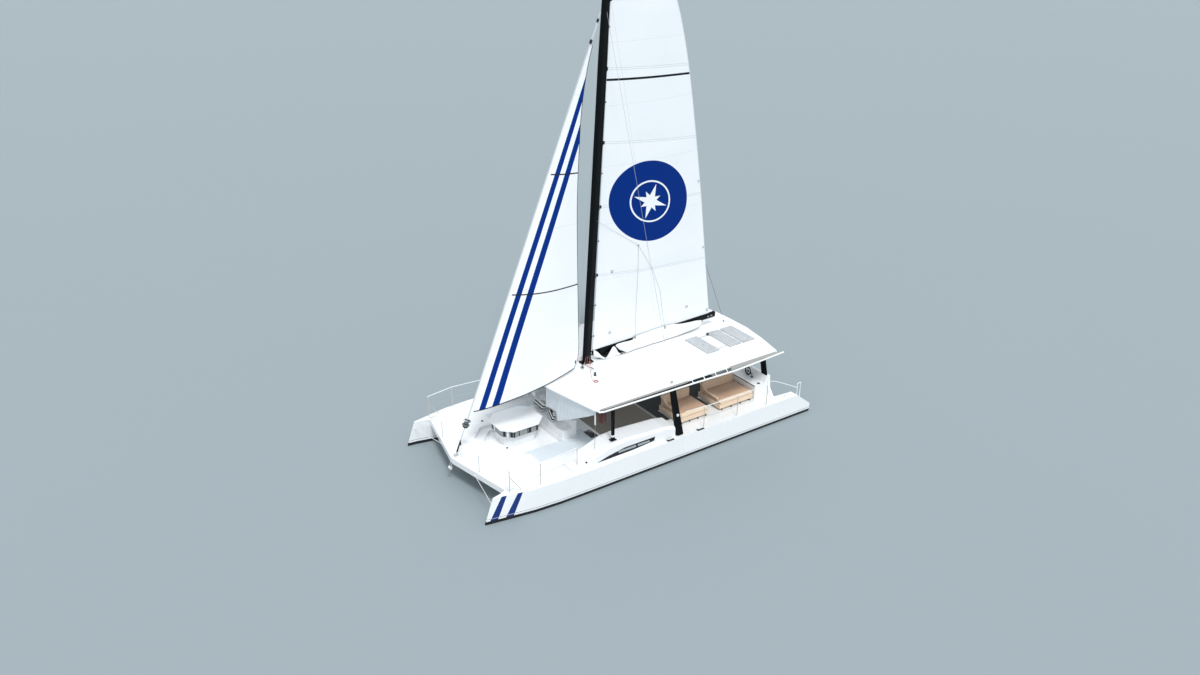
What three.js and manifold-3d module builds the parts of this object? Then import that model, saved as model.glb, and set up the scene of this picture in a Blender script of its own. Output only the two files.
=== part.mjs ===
// Sailing catamaran for day trips, afloat with both sails set.
// Millimetres. +X points to the bows, +Y to port, +Z up.
// The origin is on the centreline at mid-length, in the plane of the water.
import * as THREE from 'three';
import { mergeVertices } from 'three/addons/utils/BufferGeometryUtils.js';
import Module from 'manifold-3d';

const wasm = await Module();
wasm.setup();

// Driving dimensions
const LENGTH = 15960;
const BEAM = 7680;
const DECK_Z = 1030;
const TUNNEL_Z = 790;
const ROOF_EDGE_Z = 3320;
const ROOF_CROWN = 90;
const MAST_HEAD_Z = 20950;
const KEEL_DRAFT = 1250;
const RAIL_HEIGHT = 960;
const AFT_WALL_TOP_Z = 1980;
const GAP = 0.3;

const BOW_X = LENGTH / 2;
const STERN_X = -LENGTH / 2;
const SIDE_Y = BEAM / 2;

const looks = {
  gelcoat: { color: 0xf4f6f7, roughness: 0.25, metalness: 0 },
  antifouling: { color: 0x14171a, roughness: 0.8, metalness: 0 },
  blackCarbon: { color: 0x10181c, roughness: 0.4, metalness: 0.1 },
  stainless: { color: 0xd9dcde, roughness: 0.2, metalness: 1 },
  aluminium: { color: 0x9ea3a6, roughness: 0.4, metalness: 1 },
  sailcloth: { color: 0xf2f4f6, roughness: 0.7, metalness: 0 },
  awningCloth: { color: 0x8d867f, roughness: 0.8, metalness: 0 },
  curtainCloth: { color: 0xd8dde0, roughness: 0.8, metalness: 0 },
  upholstery: { color: 0xc9a98b, roughness: 0.85, metalness: 0 },
  stripedCloth: { color: 0x77797c, roughness: 0.85, metalness: 0 },
  darkGlass: { color: 0x0d1013, roughness: 0.1, metalness: 0 },
  solarCell: { color: 0xa9aeb1, roughness: 0.35, metalness: 0.2 },
  wicker: { color: 0x6c6f70, roughness: 0.8, metalness: 0 },
  bronze: { color: 0x9a7b4a, roughness: 0.35, metalness: 1 },
  engineGrey: { color: 0x5d6468, roughness: 0.5, metalness: 0.4 },
};

const boat = new THREE.Group();

function v(x, y, z) {
  return new THREE.Vector3(x, y, z);
}

// A closed geometry as a solid that can be cut and joined
function solid(geometry) {
  const bare = geometry.clone();
  bare.deleteAttribute('normal');
  bare.deleteAttribute('uv');
  const merged = mergeVertices(bare, 0.001);
  return new wasm.Manifold(new wasm.Mesh({
    numProp: 3,
    vertProperties: merged.attributes.position.array,
    triVerts: merged.index.array,
  }));
}

function geometryOf(body) {
  const { vertProperties, triVerts } = body.getMesh();
  const geometry = new THREE.BufferGeometry();
  geometry.setAttribute('position', new THREE.BufferAttribute(vertProperties, 3));
  geometry.setIndex(new THREE.BufferAttribute(triVerts, 1));
  return geometry;
}

function addPiece(name, body, look) {
  const mesh = new THREE.Mesh(geometryOf(body), new THREE.MeshStandardMaterial(looks[look]));
  mesh.name = name;
  boat.add(mesh);
}

function join(bodies) {
  return bodies.reduce((whole, body) => whole.add(body));
}

// A box between two corners
function block(x0, x1, y0, y1, z0, z1) {
  const box = new THREE.BoxGeometry(Math.abs(x1 - x0), Math.abs(y1 - y0), Math.abs(z1 - z0));
  box.translate((x0 + x1) / 2, (y0 + y1) / 2, (z0 + z1) / 2);
  return solid(box);
}

// A round bar between two points, narrower at the end if endRadius says so
function bar(from, to, radius, sides = 8, endRadius = radius) {
  const along = to.clone().sub(from);
  const cylinder = new THREE.CylinderGeometry(endRadius, radius, along.length(), sides);
  cylinder.translate(0, along.length() / 2, 0);
  const turn = new THREE.Quaternion().setFromUnitVectors(v(0, 1, 0), along.normalize());
  cylinder.applyQuaternion(turn);
  cylinder.translate(from.x, from.y, from.z);
  return solid(cylinder);
}

// Round bars from point to point, with a ball at each bend
function bentBar(points, radius) {
  const bars = points.slice(1).map((point, i) => bar(points[i], point, radius));
  const balls = points.slice(1, -1).map((point) => {
    const ball = new THREE.IcosahedronGeometry(radius * 1.08, 1);
    ball.translate(point.x, point.y, point.z);
    return solid(ball);
  });
  return join([...bars, ...balls]);
}

// A skin over rings with equal numbers of points. Its two ends are closed flat,
// and dropAxis is the axis that both end rings face.
function loft(rings, dropAxis) {
  const count = rings[0].length;
  const positions = rings.flat().flatMap((point) => [point.x, point.y, point.z]);
  const faces = [];
  for (let r = 0; r < rings.length - 1; r += 1) {
    for (let i = 0; i < count; i += 1) {
      const a = r * count + i;
      const b = r * count + (i + 1) % count;
      faces.push([a, b, b + count], [a, b + count, a + count]);
    }
  }
  const flat = (point) => {
    if (dropAxis === 'x') return new THREE.Vector2(point.y, point.z);
    if (dropAxis === 'y') return new THREE.Vector2(point.z, point.x);
    return new THREE.Vector2(point.x, point.y);
  };
  // Both ends, each with its triangles turned to meet the skin
  const endFaces = (ring, start, sameWay) => {
    const outline = ring.map(flat);
    const ringClockwise = THREE.ShapeUtils.isClockWise(outline);
    return THREE.ShapeUtils.triangulateShape(outline.slice(), []).map((corners) => {
      const clockwise = THREE.ShapeUtils.isClockWise(corners.map((i) => outline[i]));
      const ordered = (clockwise === ringClockwise) === sameWay ? corners : corners.slice().reverse();
      return ordered.map((i) => start + i);
    });
  };
  const lastStart = (rings.length - 1) * count;
  faces.push(...endFaces(rings[0], 0, false), ...endFaces(rings[rings.length - 1], lastStart, true));

  const point = (i) => v(positions[3 * i], positions[3 * i + 1], positions[3 * i + 2]);
  const volume = faces.reduce((sum, [a, b, c]) => (
    sum + point(a).dot(point(b).cross(point(c)))), 0);
  const outward = volume > 0 ? faces : faces.map(([a, b, c]) => [c, b, a]);
  const geometry = new THREE.BufferGeometry();
  geometry.setAttribute('position', new THREE.Float32BufferAttribute(positions, 3));
  geometry.setIndex(outward.flat());
  return solid(geometry);
}

// A flat outline of [x, y] points, raised from z0 to z1
function plate(outline, z0, z1) {
  const rings = [z0, z1].map((z) => outline.map(([x, y]) => v(x, y, z)));
  return loft(rings, 'z');
}

// An outline of [x, z] points, run across from y0 to y1
function sideProfile(outline, y0, y1) {
  const rings = [y0, y1].map((y) => outline.map(([x, z]) => v(x, y, z)));
  return loft(rings, 'y');
}

function mix(a, b, t) {
  return a + (b - a) * t;
}

const sides = [
  { label: 'port', s: 1 },
  { label: 'starboard', s: -1 },
];

// Hulls

// The stem leans back above the water and the forefoot curves aft below it
const STEM_RAKE = 390;
const STEM_Y = 3400;
const CHINE_Z = 150;
const BILGE_Z = -230;

// Columns: x, outer edge y, inner edge y at the deck, inner y at the waterline, canoe depth
const hullStations = [
  { x: STERN_X, outer: SIDE_Y, inner: 2760, waterInner: 2860, depth: 250 },
  { x: -6200, outer: SIDE_Y, inner: 2560, waterInner: 2680, depth: 400 },
  { x: -3000, outer: SIDE_Y, inner: 2380, waterInner: 2520, depth: 560 },
  { x: 800, outer: SIDE_Y, inner: 2340, waterInner: 2500, depth: 600 },
  { x: 3400, outer: SIDE_Y, inner: 2460, waterInner: 2620, depth: 560 },
  { x: 4900, outer: 3825, inner: 2640, waterInner: 2800, depth: 500 },
  { x: 6000, outer: 3750, inner: 2850, waterInner: 2990, depth: 430 },
  { x: 6900, outer: 3610, inner: 3080, waterInner: 3180, depth: 370 },
  { x: 7600, outer: 3490, inner: 3290, waterInner: 3330, depth: 320 },
  { x: BOW_X, outer: STEM_Y + 25, inner: STEM_Y - 25, waterInner: STEM_Y - 25, depth: 300 },
];

// A hull that is grown to cut its neighbour also stands higher than the deck
function hullRing({ x, outer, inner, waterInner, depth }, side, grow) {
  const middle = (outer + waterInner) / 2;
  const lean = THREE.MathUtils.smoothstep(x, 6000, BOW_X);
  const at = (y, z) => {
    const back = z > 0 ? STEM_RAKE * z / DECK_Z : 900 * (z / 600) ** 2;
    return v(x - lean * back, side * y, z);
  };
  const fullness = (outer - waterInner) / 2;
  const above = grow > 0 ? [at(inner - grow, DECK_Z + 30), at(outer + grow, DECK_Z + 30)] : [];
  return [
    at(outer + grow, DECK_Z),
    at(outer + grow, CHINE_Z + 40),
    at(outer - 0.05 * fullness + grow, 0),
    at(middle + 0.72 * fullness + grow, BILGE_Z - 0.25 * depth + 60),
    at(middle + 0.3 * fullness + grow, -depth),
    at(middle - 0.3 * fullness - grow, -depth),
    at(middle - 0.75 * fullness - grow, BILGE_Z - 0.25 * depth + 60),
    at(waterInner - grow, 0),
    at(mix(waterInner, inner, 0.4) - grow, TUNNEL_Z - 60),
    at(inner - grow, DECK_Z),
    ...above,
  ];
}

function hullShell(side, grow = 0) {
  return loft(hullStations.map((station) => hullRing(station, side, grow)), 'x');
}

// The stern: an outer wall that slopes down to the transom, and a low step inboard of it
const DECK_END_X = -7180;
const STEP_Z = 550;
const STEP_X = -6260;
const STERN_WALL_Y = 3430;
const TRANSOM_TOP_Z = 400;

// Engine under the stern step, with a lid hinged at its forward edge
const HATCH = { x0: -7060, x1: -6330, y0: 2900, y1: 3340, lid: 35, rebate: 20 };
const ENGINE = { x0: -6950, x1: -6430, y0: 2960, y1: 3280, z0: -110, z1: 400 };
const ENGINE_ROOM_MARGIN = 30;

// Fixed fin under each hull, about a metre below the canoe body
const FIN = { rootX0: -1500, rootX1: 1700, tipX0: -1200, tipX1: 900, y: 3160, half: 90 };

function finKeel(side) {
  const fin = (x0, x1, half, z) => [
    v(x1, side * FIN.y, z),
    v(mix(x0, x1, 0.7), side * (FIN.y + half), z),
    v(x0, side * FIN.y + 8 * side, z),
    v(x0, side * FIN.y - 8 * side, z),
    v(mix(x0, x1, 0.7), side * (FIN.y - half), z),
  ];
  return loft([
    fin(FIN.rootX0, FIN.rootX1, FIN.half, -450),
    fin(FIN.tipX0, FIN.tipX1, FIN.half * 0.6, -KEEL_DRAFT),
  ], 'z');
}

// Propeller leg under each engine
const LEG = { x: -6150, y: 3120, hubZ: -640, hubR: 62, bladeR: 230, propX: -6330 };

function propellerLeg(side) {
  const strut = (chord, half, z) => [
    v(LEG.x + chord / 2, side * LEG.y, z),
    v(LEG.x, side * LEG.y + half, z),
    v(LEG.x - chord / 2, side * LEG.y, z),
    v(LEG.x, side * LEG.y - half, z),
  ];
  return join([
    loft([strut(300, 55, -250), strut(240, 45, LEG.hubZ)], 'z'),
    bar(v(LEG.x + 170, side * LEG.y, LEG.hubZ), v(LEG.x - 150, side * LEG.y, LEG.hubZ), LEG.hubR),
  ]);
}

for (const { label, s } of sides) {
  const sternStep = block(STERN_X - 100, STEP_X, s * 2000, s * STERN_WALL_Y, STEP_Z, DECK_Z + 100);
  const sternSlope = sideProfile([
    [DECK_END_X, DECK_Z + 100], [DECK_END_X, DECK_Z],
    [STERN_X, TRANSOM_TOP_Z], [STERN_X - 100, TRANSOM_TOP_Z], [STERN_X - 100, DECK_Z + 100],
  ], s * 2000, s * (SIDE_Y + 100));
  const lidSeat = block(HATCH.x0 - HATCH.rebate, HATCH.x1 + HATCH.rebate,
    s * (HATCH.y0 - HATCH.rebate), s * (HATCH.y1 + HATCH.rebate),
    STEP_Z - HATCH.lid, STEP_Z + 100);
  const engineRoom = block(ENGINE.x0 - ENGINE_ROOM_MARGIN, ENGINE.x1 + ENGINE_ROOM_MARGIN,
    s * (ENGINE.y0 - ENGINE_ROOM_MARGIN), s * (ENGINE.y1 + ENGINE_ROOM_MARGIN),
    ENGINE.z0 - GAP, STEP_Z + 100);
  const hull = join([hullShell(s), finKeel(s), propellerLeg(s)])
    .subtract(sternStep).subtract(sternSlope).subtract(lidSeat).subtract(engineRoom);
  addPiece(`hull_${label}`, hull, 'gelcoat');

  addPiece(`engine_${label}`, block(ENGINE.x0, ENGINE.x1, s * ENGINE.y0, s * ENGINE.y1,
    ENGINE.z0, ENGINE.z1), 'engineGrey');
  addPiece(`engine_hatch_${label}`, block(HATCH.x0, HATCH.x1, s * HATCH.y0, s * HATCH.y1,
    STEP_Z - HATCH.lid + GAP, STEP_Z), 'gelcoat');
}

// Propellers and rudders

const RUDDER = { x: -7080, y: 3140, topZ: -329, tipZ: -1180, rootChord: 560, tipChord: 360, half: 38 };
const STOCK_R = 30;

for (const { label, s } of sides) {
  const hubFront = v(LEG.x - 150 - 2 * GAP, s * LEG.y, LEG.hubZ);
  const hubBack = v(LEG.propX - 90, s * LEG.y, LEG.hubZ);
  const blades = [0, 1, 2].map((i) => {
    const angle = (i * 2 * Math.PI) / 3;
    const blade = new THREE.BoxGeometry(16, 110, LEG.bladeR - 20);
    blade.translate(0, 0, (LEG.bladeR + 20) / 2);
    blade.rotateZ(0.45 * s);
    blade.rotateX(angle);
    blade.translate(LEG.propX - 25, s * LEG.y, LEG.hubZ);
    return solid(blade);
  });
  addPiece(`propeller_${label}`, join([bar(hubFront, hubBack, 50, 12, 30), ...blades]), 'bronze');

  const foil = (chord, half, z) => {
    const front = RUDDER.x + 0.28 * chord;
    return [
      v(front, s * RUDDER.y, z),
      v(front - 0.3 * chord, s * RUDDER.y + half, z),
      v(front - chord, s * RUDDER.y + 4, z),
      v(front - chord, s * RUDDER.y - 4, z),
      v(front - 0.3 * chord, s * RUDDER.y - half, z),
    ];
  };
  const blade = loft([
    foil(RUDDER.rootChord, RUDDER.half, RUDDER.topZ - 40),
    foil(RUDDER.tipChord, RUDDER.half * 0.7, RUDDER.tipZ),
  ], 'z');
  const stock = bar(v(RUDDER.x, s * RUDDER.y, RUDDER.topZ - 60),
    v(RUDDER.x, s * RUDDER.y, RUDDER.topZ), STOCK_R, 12);
  addPiece(`rudder_${label}`, join([blade, stock]), 'antifouling');
}

// Bridge deck between the hulls, with a pointed front and a sunken lounge

const PROW = { x: 7580, cornerX: 6980, cornerY: 3120 };
const BRIDGE_AFT_X = -6200;
const JOINT_Y = 3300;
const POD = { x0: -5200, x1: 6050, half: 1550, z: 520 };

// The lounge in the foredeck steps down twice around its table
const lounge = { x0: 3300, x1: 6150, half: 1480, cut: 620, step: 260, rise: 110, levels: 2 };

function loungeOutline(inset) {
  const front = lounge.x1 - inset;
  const half = lounge.half - inset;
  return [
    [lounge.x0, -half], [front - lounge.cut, -half], [front, -half + lounge.cut],
    [front, half - lounge.cut], [front - lounge.cut, half], [lounge.x0, half],
  ];
}

const bridgeOutline = [
  [BRIDGE_AFT_X, -JOINT_Y], [PROW.cornerX - 50, -JOINT_Y], [PROW.cornerX, -PROW.cornerY],
  [PROW.x, -120], [PROW.x, 120],
  [PROW.cornerX, PROW.cornerY], [PROW.cornerX - 50, JOINT_Y], [BRIDGE_AFT_X, JOINT_Y],
];
const podRing = (half, nose, z) => [
  v(POD.x0, -half, z), v(POD.x1 - nose, -half, z), v(POD.x1 - nose + 700, 0, z),
  v(POD.x1 - nose, half, z), v(POD.x0, half, z),
];
const podShell = loft([podRing(POD.half * 0.72, 1100, POD.z), podRing(POD.half * 1.12, 500, TUNNEL_Z + 40)], 'z');
const loungeCuts = Array.from({ length: lounge.levels }, (_, i) => (
  plate(loungeOutline(i * lounge.step), DECK_Z - (i + 1) * lounge.rise, DECK_Z + 100)));
let bridgeDeck = plate(bridgeOutline, TUNNEL_Z, DECK_Z).add(podShell);
for (const cut of loungeCuts) bridgeDeck = bridgeDeck.subtract(cut);
for (const { s } of sides) bridgeDeck = bridgeDeck.subtract(hullShell(s, GAP));
addPiece('bridge_deck', bridgeDeck, 'gelcoat');

// Table with eight corners on a panelled drum

const LOUNGE_FLOOR_Z = DECK_Z - lounge.levels * lounge.rise;
const TABLE = { x: 4530, y: -250, z: 1700, halfX: 980, halfY: 870, cut: 400, top: 60, apron: 370 };

function eightCorners(inset) {
  const a = TABLE.halfX - inset;
  const b = TABLE.halfY - inset;
  const c = TABLE.cut - inset * 0.4;
  return [
    [a, b - c], [a - c, b], [-a + c, b], [-a, b - c],
    [-a, -b + c], [-a + c, -b], [a - c, -b], [a, -b + c],
  ].map(([x, y]) => [TABLE.x + x, TABLE.y + y]);
}

const tableDrum = plate(eightCorners(80), TABLE.z - TABLE.apron, TABLE.z - TABLE.top - GAP)
  .add(plate(eightCorners(230), LOUNGE_FLOOR_Z + GAP, TABLE.z - TABLE.apron + 10));
addPiece('table_base', tableDrum, 'wicker');
addPiece('table_top', plate(eightCorners(0), TABLE.z - TABLE.top, TABLE.z), 'gelcoat');

// Sofa at the aft side of the lounge, with its striped cushions

const SOFA = { x0: 2620, x1: 3280, half: 1300, seatZ: 1400, backX: 2780, backZ: 1720 };
const sofaProfile = [
  [SOFA.x0, DECK_Z + GAP], [SOFA.x1, DECK_Z + GAP], [SOFA.x1, SOFA.seatZ],
  [SOFA.backX, SOFA.seatZ], [SOFA.backX, SOFA.backZ], [SOFA.x0, SOFA.backZ],
];
addPiece('lounge_sofa', sideProfile(sofaProfile, -SOFA.half, SOFA.half), 'gelcoat');
const cushionProfile = [
  [SOFA.backX + GAP, SOFA.seatZ + GAP], [SOFA.x1 - 60, SOFA.seatZ + GAP],
  [SOFA.x1 - 60, SOFA.seatZ + 140], [SOFA.backX + 240, SOFA.seatZ + 150],
  [SOFA.backX + 150, SOFA.backZ + 110], [SOFA.backX + GAP, SOFA.backZ + 110],
];
addPiece('striped_cushions', sideProfile(cushionProfile, -SOFA.half + 60, SOFA.half - 60), 'stripedCloth');

// Raised trunk along the side deck over each hull, with a long pointed window

const TRUNK = { x0: -600, x1: 4300, inner: 2720, outer: 3660, topZ: 1720 };
const TRUNK_NOSE_Z = 1254;
const WINDOW = { x0: 430, x1: 3170, z0: 1130, z1: 1400, thick: 14 };

for (const { label, s } of sides) {
  const ring = (x, inner, outer, z) => [
    v(x, s * inner, DECK_Z + GAP), v(x, s * outer, DECK_Z + GAP), v(x, s * outer, z - 90),
    v(x, s * (outer - 90), z), v(x, s * (inner + 30), z), v(x, s * inner, z - 30),
  ];
  const trunk = loft([
    ring(TRUNK.x0, TRUNK.inner, TRUNK.outer, 1500),
    ring(TRUNK.x0 + 500, TRUNK.inner, TRUNK.outer, 1600),
    ring(1700, TRUNK.inner, TRUNK.outer, TRUNK.topZ),
    ring(2500, TRUNK.inner, TRUNK.outer, TRUNK.topZ - 40),
    ring(3500, TRUNK.inner + 60, TRUNK.outer, 1380),
    ring(TRUNK.x1, TRUNK.inner + 300, TRUNK.outer, 1170),
  ], 'x');
  addPiece(`side_trunk_${label}`, trunk, 'gelcoat');
  const lens = [
    [WINDOW.x0, WINDOW.z1 - 20], [WINDOW.x0 + 30, WINDOW.z0 + 90], [1500, WINDOW.z0 + 20],
    [WINDOW.x1, WINDOW.z0], [2650, WINDOW.z0 + 130], [1900, WINDOW.z1 - 20],
  ];
  addPiece(`side_window_${label}`, sideProfile(lens,
    s * (TRUNK.outer + GAP), s * (TRUNK.outer + WINDOW.thick)), 'darkGlass');
}

// Hardtop roof: a crowned plate with a bowed front and back

const ROOF = { half: 3480, thick: 70, bevel: 20 };
// Columns: share of the half width, front edge x, back edge x
const roofSections = [
  { share: 0, front: 3790, back: -6560 },
  { share: 0.3, front: 3690, back: -6550 },
  { share: 0.62, front: 3450, back: -6400 },
  { share: 0.97, front: 3150, back: -6150 },
  { share: 1, front: 3090, back: -6090 },
];
const crownAt = (share) => ROOF_EDGE_Z + ROOF_CROWN * (1 - share * share);

// Height of the roof's top at a distance from the centreline
function roofTop(y) {
  const share = Math.min(Math.abs(y) / ROOF.half, 1);
  const i = Math.max(1, roofSections.findIndex((section) => section.share >= share));
  const [a, b] = [roofSections[i - 1].share, roofSections[i].share];
  return mix(crownAt(a), crownAt(b), (share - a) / (b - a));
}

const roofRing = ({ share, front, back }, s) => {
  const z = crownAt(share);
  return [
    v(front, s * share * ROOF.half, z - ROOF.bevel), v(front - 30, s * share * ROOF.half, z),
    v(back + 30, s * share * ROOF.half, z), v(back, s * share * ROOF.half, z - ROOF.bevel),
    v(back, s * share * ROOF.half, z - ROOF.thick),
    v(front, s * share * ROOF.half, z - ROOF.thick),
  ];
};
const roofRings = [
  ...roofSections.slice(1).reverse().map((section) => roofRing(section, -1)),
  ...roofSections.map((section) => roofRing(section, 1)),
];
const ROOF_MID_Z = ROOF_EDGE_Z - ROOF.thick / 2;

// A white tube follows each side of the roof on short struts, lowest before its aft end
const LIP = { r: 36, strutR: 16, strutX: [-1500, -2100, -2700, -3300, -3900, -4500, -5100, -5800] };
const lipRoute = [
  [3055, 3455, ROOF_MID_Z], [3020, 3590, 3262], [2830, 3600, 3225], [-1400, 3600, 3170],
  [-3800, 3600, 3112], [-4570, 3600, 3150], [-5930, 3600, 3215], [-6380, 3592, 3228],
];

function roofLip(s) {
  const tube = bentBar(lipRoute.map(([x, y, z]) => v(x, s * y, z)), LIP.r);
  const struts = LIP.strutX.map((x) => {
    const i = lipRoute.findIndex(([end]) => end <= x);
    const [a, b] = [lipRoute[i - 1], lipRoute[i]];
    const z = mix(a[2], b[2], (x - a[0]) / (b[0] - a[0]));
    return bar(v(x, s * a[1], z), v(x, s * (ROOF.half - 20), ROOF_MID_Z), LIP.strutR);
  });
  return join([tube, ...struts]);
}

addPiece('hardtop_roof', join([loft(roofRings, 'y'), roofLip(1), roofLip(-1)]), 'gelcoat');

// Grey side curtains, rolled up between the edge of the roof and the lip
const ROLL = { x0: -1250, x1: 2900, r: 38, z: 3280 };
for (const { label, s } of sides) {
  const y = s * (ROOF.half + ROLL.r + GAP);
  addPiece(`rolled_curtain_${label}`, bar(v(ROLL.x0, y, ROLL.z), v(ROLL.x1, y, ROLL.z), ROLL.r, 12),
    'awningCloth');
}

// Solar panels on the aft half of the roof, three a side on one pair of rails
const PANEL = { y0: 600, y1: 2170, thick: 25, rise: 18 };
const panelColumns = [[-4060, -3400], [-5260, -4600], [-6020, -5360]];
for (const { label, s } of sides) {
  const tilt = (x0, x1, y0, y1, lift, thick) => {
    const top = (y) => roofTop(y) + lift;
    const ring = (x) => [
      v(x, s * y0, top(y0)), v(x, s * y1, top(y1)),
      v(x, s * y1, top(y1) + thick), v(x, s * y0, top(y0) + thick),
    ];
    return loft([ring(x0), ring(x1)], 'x');
  };
  const panels = panelColumns.map(([x0, x1]) => (
    tilt(x0, x1, PANEL.y0, PANEL.y1, PANEL.rise - 3, PANEL.thick)));
  const rails = [PANEL.y0 + 150, PANEL.y1 - 190].map((y) => (
    tilt(panelColumns[2][0] + 60, panelColumns[0][1] - 60, y, y + 40, 2 * GAP, PANEL.rise)));
  addPiece(`solar_panels_${label}`, join([...panels, ...rails]), 'solarCell');
}

// Posts that carry the roof

// Each post's foot and head are a point and a section, long and wide
const posts = [
  { name: 'post_front', foot: [2270, 3380, 1720], head: [2270, 3380], footSize: [110, 90], headSize: [110, 90] },
  { name: 'post_mid', foot: [-870, 3580, DECK_Z], head: [-560, 3410], footSize: [340, 110], headSize: [225, 110] },
  { name: 'post_aft', foot: [-6048, 2880, AFT_WALL_TOP_Z], head: [-6040, 2580], footSize: [76, 300], headSize: [76, 280] },
];

function postBody(s, { foot, head, footSize, headSize }) {
  const headZ = roofTop(head[1] + headSize[1] / 2) - ROOF.thick - GAP;
  const ring = (x, y, z, [long, wide]) => [
    v(x - long / 2, s * (y - wide / 2), z), v(x + long / 2, s * (y - wide / 2), z),
    v(x + long / 2, s * (y + wide / 2), z), v(x - long / 2, s * (y + wide / 2), z),
  ];
  return loft([ring(foot[0], foot[1], foot[2] + GAP, footSize), ring(head[0], head[1], headZ, headSize)], 'z');
}

for (const { label, s } of sides) {
  for (const post of posts) addPiece(`${post.name}_${label}`, postBody(s, post), 'blackCarbon');
}

// Front curtains under the roof's front edge, swept up to the corner
const CURTAIN = { y0: 150, x0: 3470, y1: 3380, x1: 3040, thick: 22, hem: 1120 };
for (const { label, s } of sides) {
  const topRow = [CURTAIN.y0, ROOF.half * roofSections[1].share, ROOF.half * roofSections[2].share, CURTAIN.y1]
    .map((y) => [mix(CURTAIN.x0, CURTAIN.x1, (y / CURTAIN.y1) ** 2), y, roofTop(y) - ROOF.thick - 2 * GAP]);
  const hem = [[3040, 3060, 2780], [3440, 560, CURTAIN.hem], [CURTAIN.x0, CURTAIN.y0, CURTAIN.hem]];
  const ring = (shift) => [...topRow, ...hem].map(([x, y, z]) => v(x + shift, s * y, z));
  addPiece(`front_curtain_${label}`, loft([ring(0), ring(CURTAIN.thick)], 'x'), 'curtainCloth');
}

// Mast: a raked wing section on the roof, with a post below it down to the bridge deck

const MAST = { footX: 1270, footZ: ROOF_EDGE_Z + ROOF_CROWN, rake: 0.0687, chord: 400, half: 95 };
const mastX = (z) => MAST.footX - (z - MAST.footZ) * MAST.rake;
// The section tapers above this height
const TAPER = { from: 15500, headScale: 0.62 };
const mastScale = (z) => mix(1, TAPER.headScale,
  THREE.MathUtils.clamp((z - TAPER.from) / (MAST_HEAD_Z - TAPER.from), 0, 1));
const LUFF = { footX: 940, footZ: 3920, rake: 0.0625 };
const luffX = (z) => LUFF.footX - (z - LUFF.footZ) * LUFF.rake;

const mastRing = (z) => {
  const x = mastX(z);
  const scale = mastScale(z);
  const c = MAST.chord * scale;
  const h = MAST.half * scale;
  return [
    v(x + 0.5 * c, 0, z), v(x + 0.36 * c, 0.75 * h, z), v(x + 0.1 * c, h, z), v(x - 0.5 * c, 0.35 * h, z),
    v(x - 0.5 * c, -0.35 * h, z), v(x + 0.1 * c, -h, z), v(x + 0.36 * c, -0.75 * h, z),
  ];
};
const PIN = { r: 14, eyeR: 42, eyeHalf: 55, cheek: 18, play: 0.6, slope: 4 };

// The gooseneck pin stands on the line of the sail's luff
const luffPoint = (z) => v(luffX(z), 0, z);
const pinLow = LUFF.footZ - 160;
const cheeks = [-1, 1].map((way) => {
  const near = pinLow + way * (PIN.eyeHalf + PIN.play);
  const far = near + way * PIN.cheek;
  const disc = bar(luffPoint(Math.min(near, far)), luffPoint(Math.max(near, far)), PIN.eyeR, 12);
  const inner = near + way * PIN.slope;
  const arm = block(luffX(near), mastX(near) - 150, -35, 35, Math.min(inner, far), Math.max(inner, far));
  return disc.add(arm);
});
const pin = bar(luffPoint(pinLow - PIN.eyeHalf - 10), luffPoint(pinLow + PIN.eyeHalf + 10), PIN.r, 12);
const mastFoot = block(MAST.footX - 260, MAST.footX + 260, -160, 160, MAST.footZ + GAP, MAST.footZ + 60);
const mast = join([
  loft([MAST.footZ + 40, TAPER.from, MAST_HEAD_Z].map(mastRing), 'z'),
  mastFoot, ...cheeks, pin,
]);
addPiece('mast', mast, 'blackCarbon');
addPiece('mast_post', bar(v(MAST.footX, 0, DECK_Z + GAP),
  v(MAST.footX, 0, MAST.footZ - ROOF.thick - GAP - 1), 90, 16), 'gelcoat');

// Boom, sail bag and mainsail, all on the gooseneck

// The boom rises towards its aft end
const BOOM = { endX: -5530, z: pinLow, high: 230, wide: 150, start: 620, rise: 170 };
const boomZ = (x) => BOOM.z + (BOOM.rise * (BOOM.start - x)) / (BOOM.start - BOOM.endX);
const boomTop = (x) => boomZ(x) + BOOM.high / 2;
const boomRing = (x) => [
  v(x, BOOM.wide / 2, boomTop(x) - 40), v(x, BOOM.wide / 2 - 30, boomTop(x)),
  v(x, 30 - BOOM.wide / 2, boomTop(x)), v(x, -BOOM.wide / 2, boomTop(x) - 40),
  v(x, -BOOM.wide * 0.3, boomTop(x) - BOOM.high), v(x, BOOM.wide * 0.3, boomTop(x) - BOOM.high),
];
const eye = bar(luffPoint(pinLow - PIN.eyeHalf), luffPoint(pinLow + PIN.eyeHalf), PIN.eyeR, 12)
  .subtract(bar(luffPoint(pinLow - 200), luffPoint(pinLow + 200), PIN.r + PIN.play, 12));
const boomTongue = block(BOOM.start - 20, luffX(pinLow) - PIN.eyeR + 8, -25, 25,
  BOOM.z - PIN.eyeHalf + 12, BOOM.z + PIN.eyeHalf - 12);
addPiece('boom', join([
  loft([boomRing(BOOM.start), boomRing(BOOM.endX)], 'x'), boomTongue, eye,
]), 'blackCarbon');

// Columns: height, leech x, from the foot up. The head is cut square.
const leech = [
  { z: BOOM.z + BOOM.high / 2, x: -5190 }, { z: 7290, x: -4770 }, { z: 9630, x: -4470 }, { z: 12310, x: -4060 },
  { z: 15160, x: -3550 }, { z: 17370, x: -2940 }, { z: 19300, x: -2050 }, { z: 20400, x: -1250 },
];
const SAIL = { thick: 14, draft: 0.04, columns: 6, luffGap: 12 };

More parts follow.
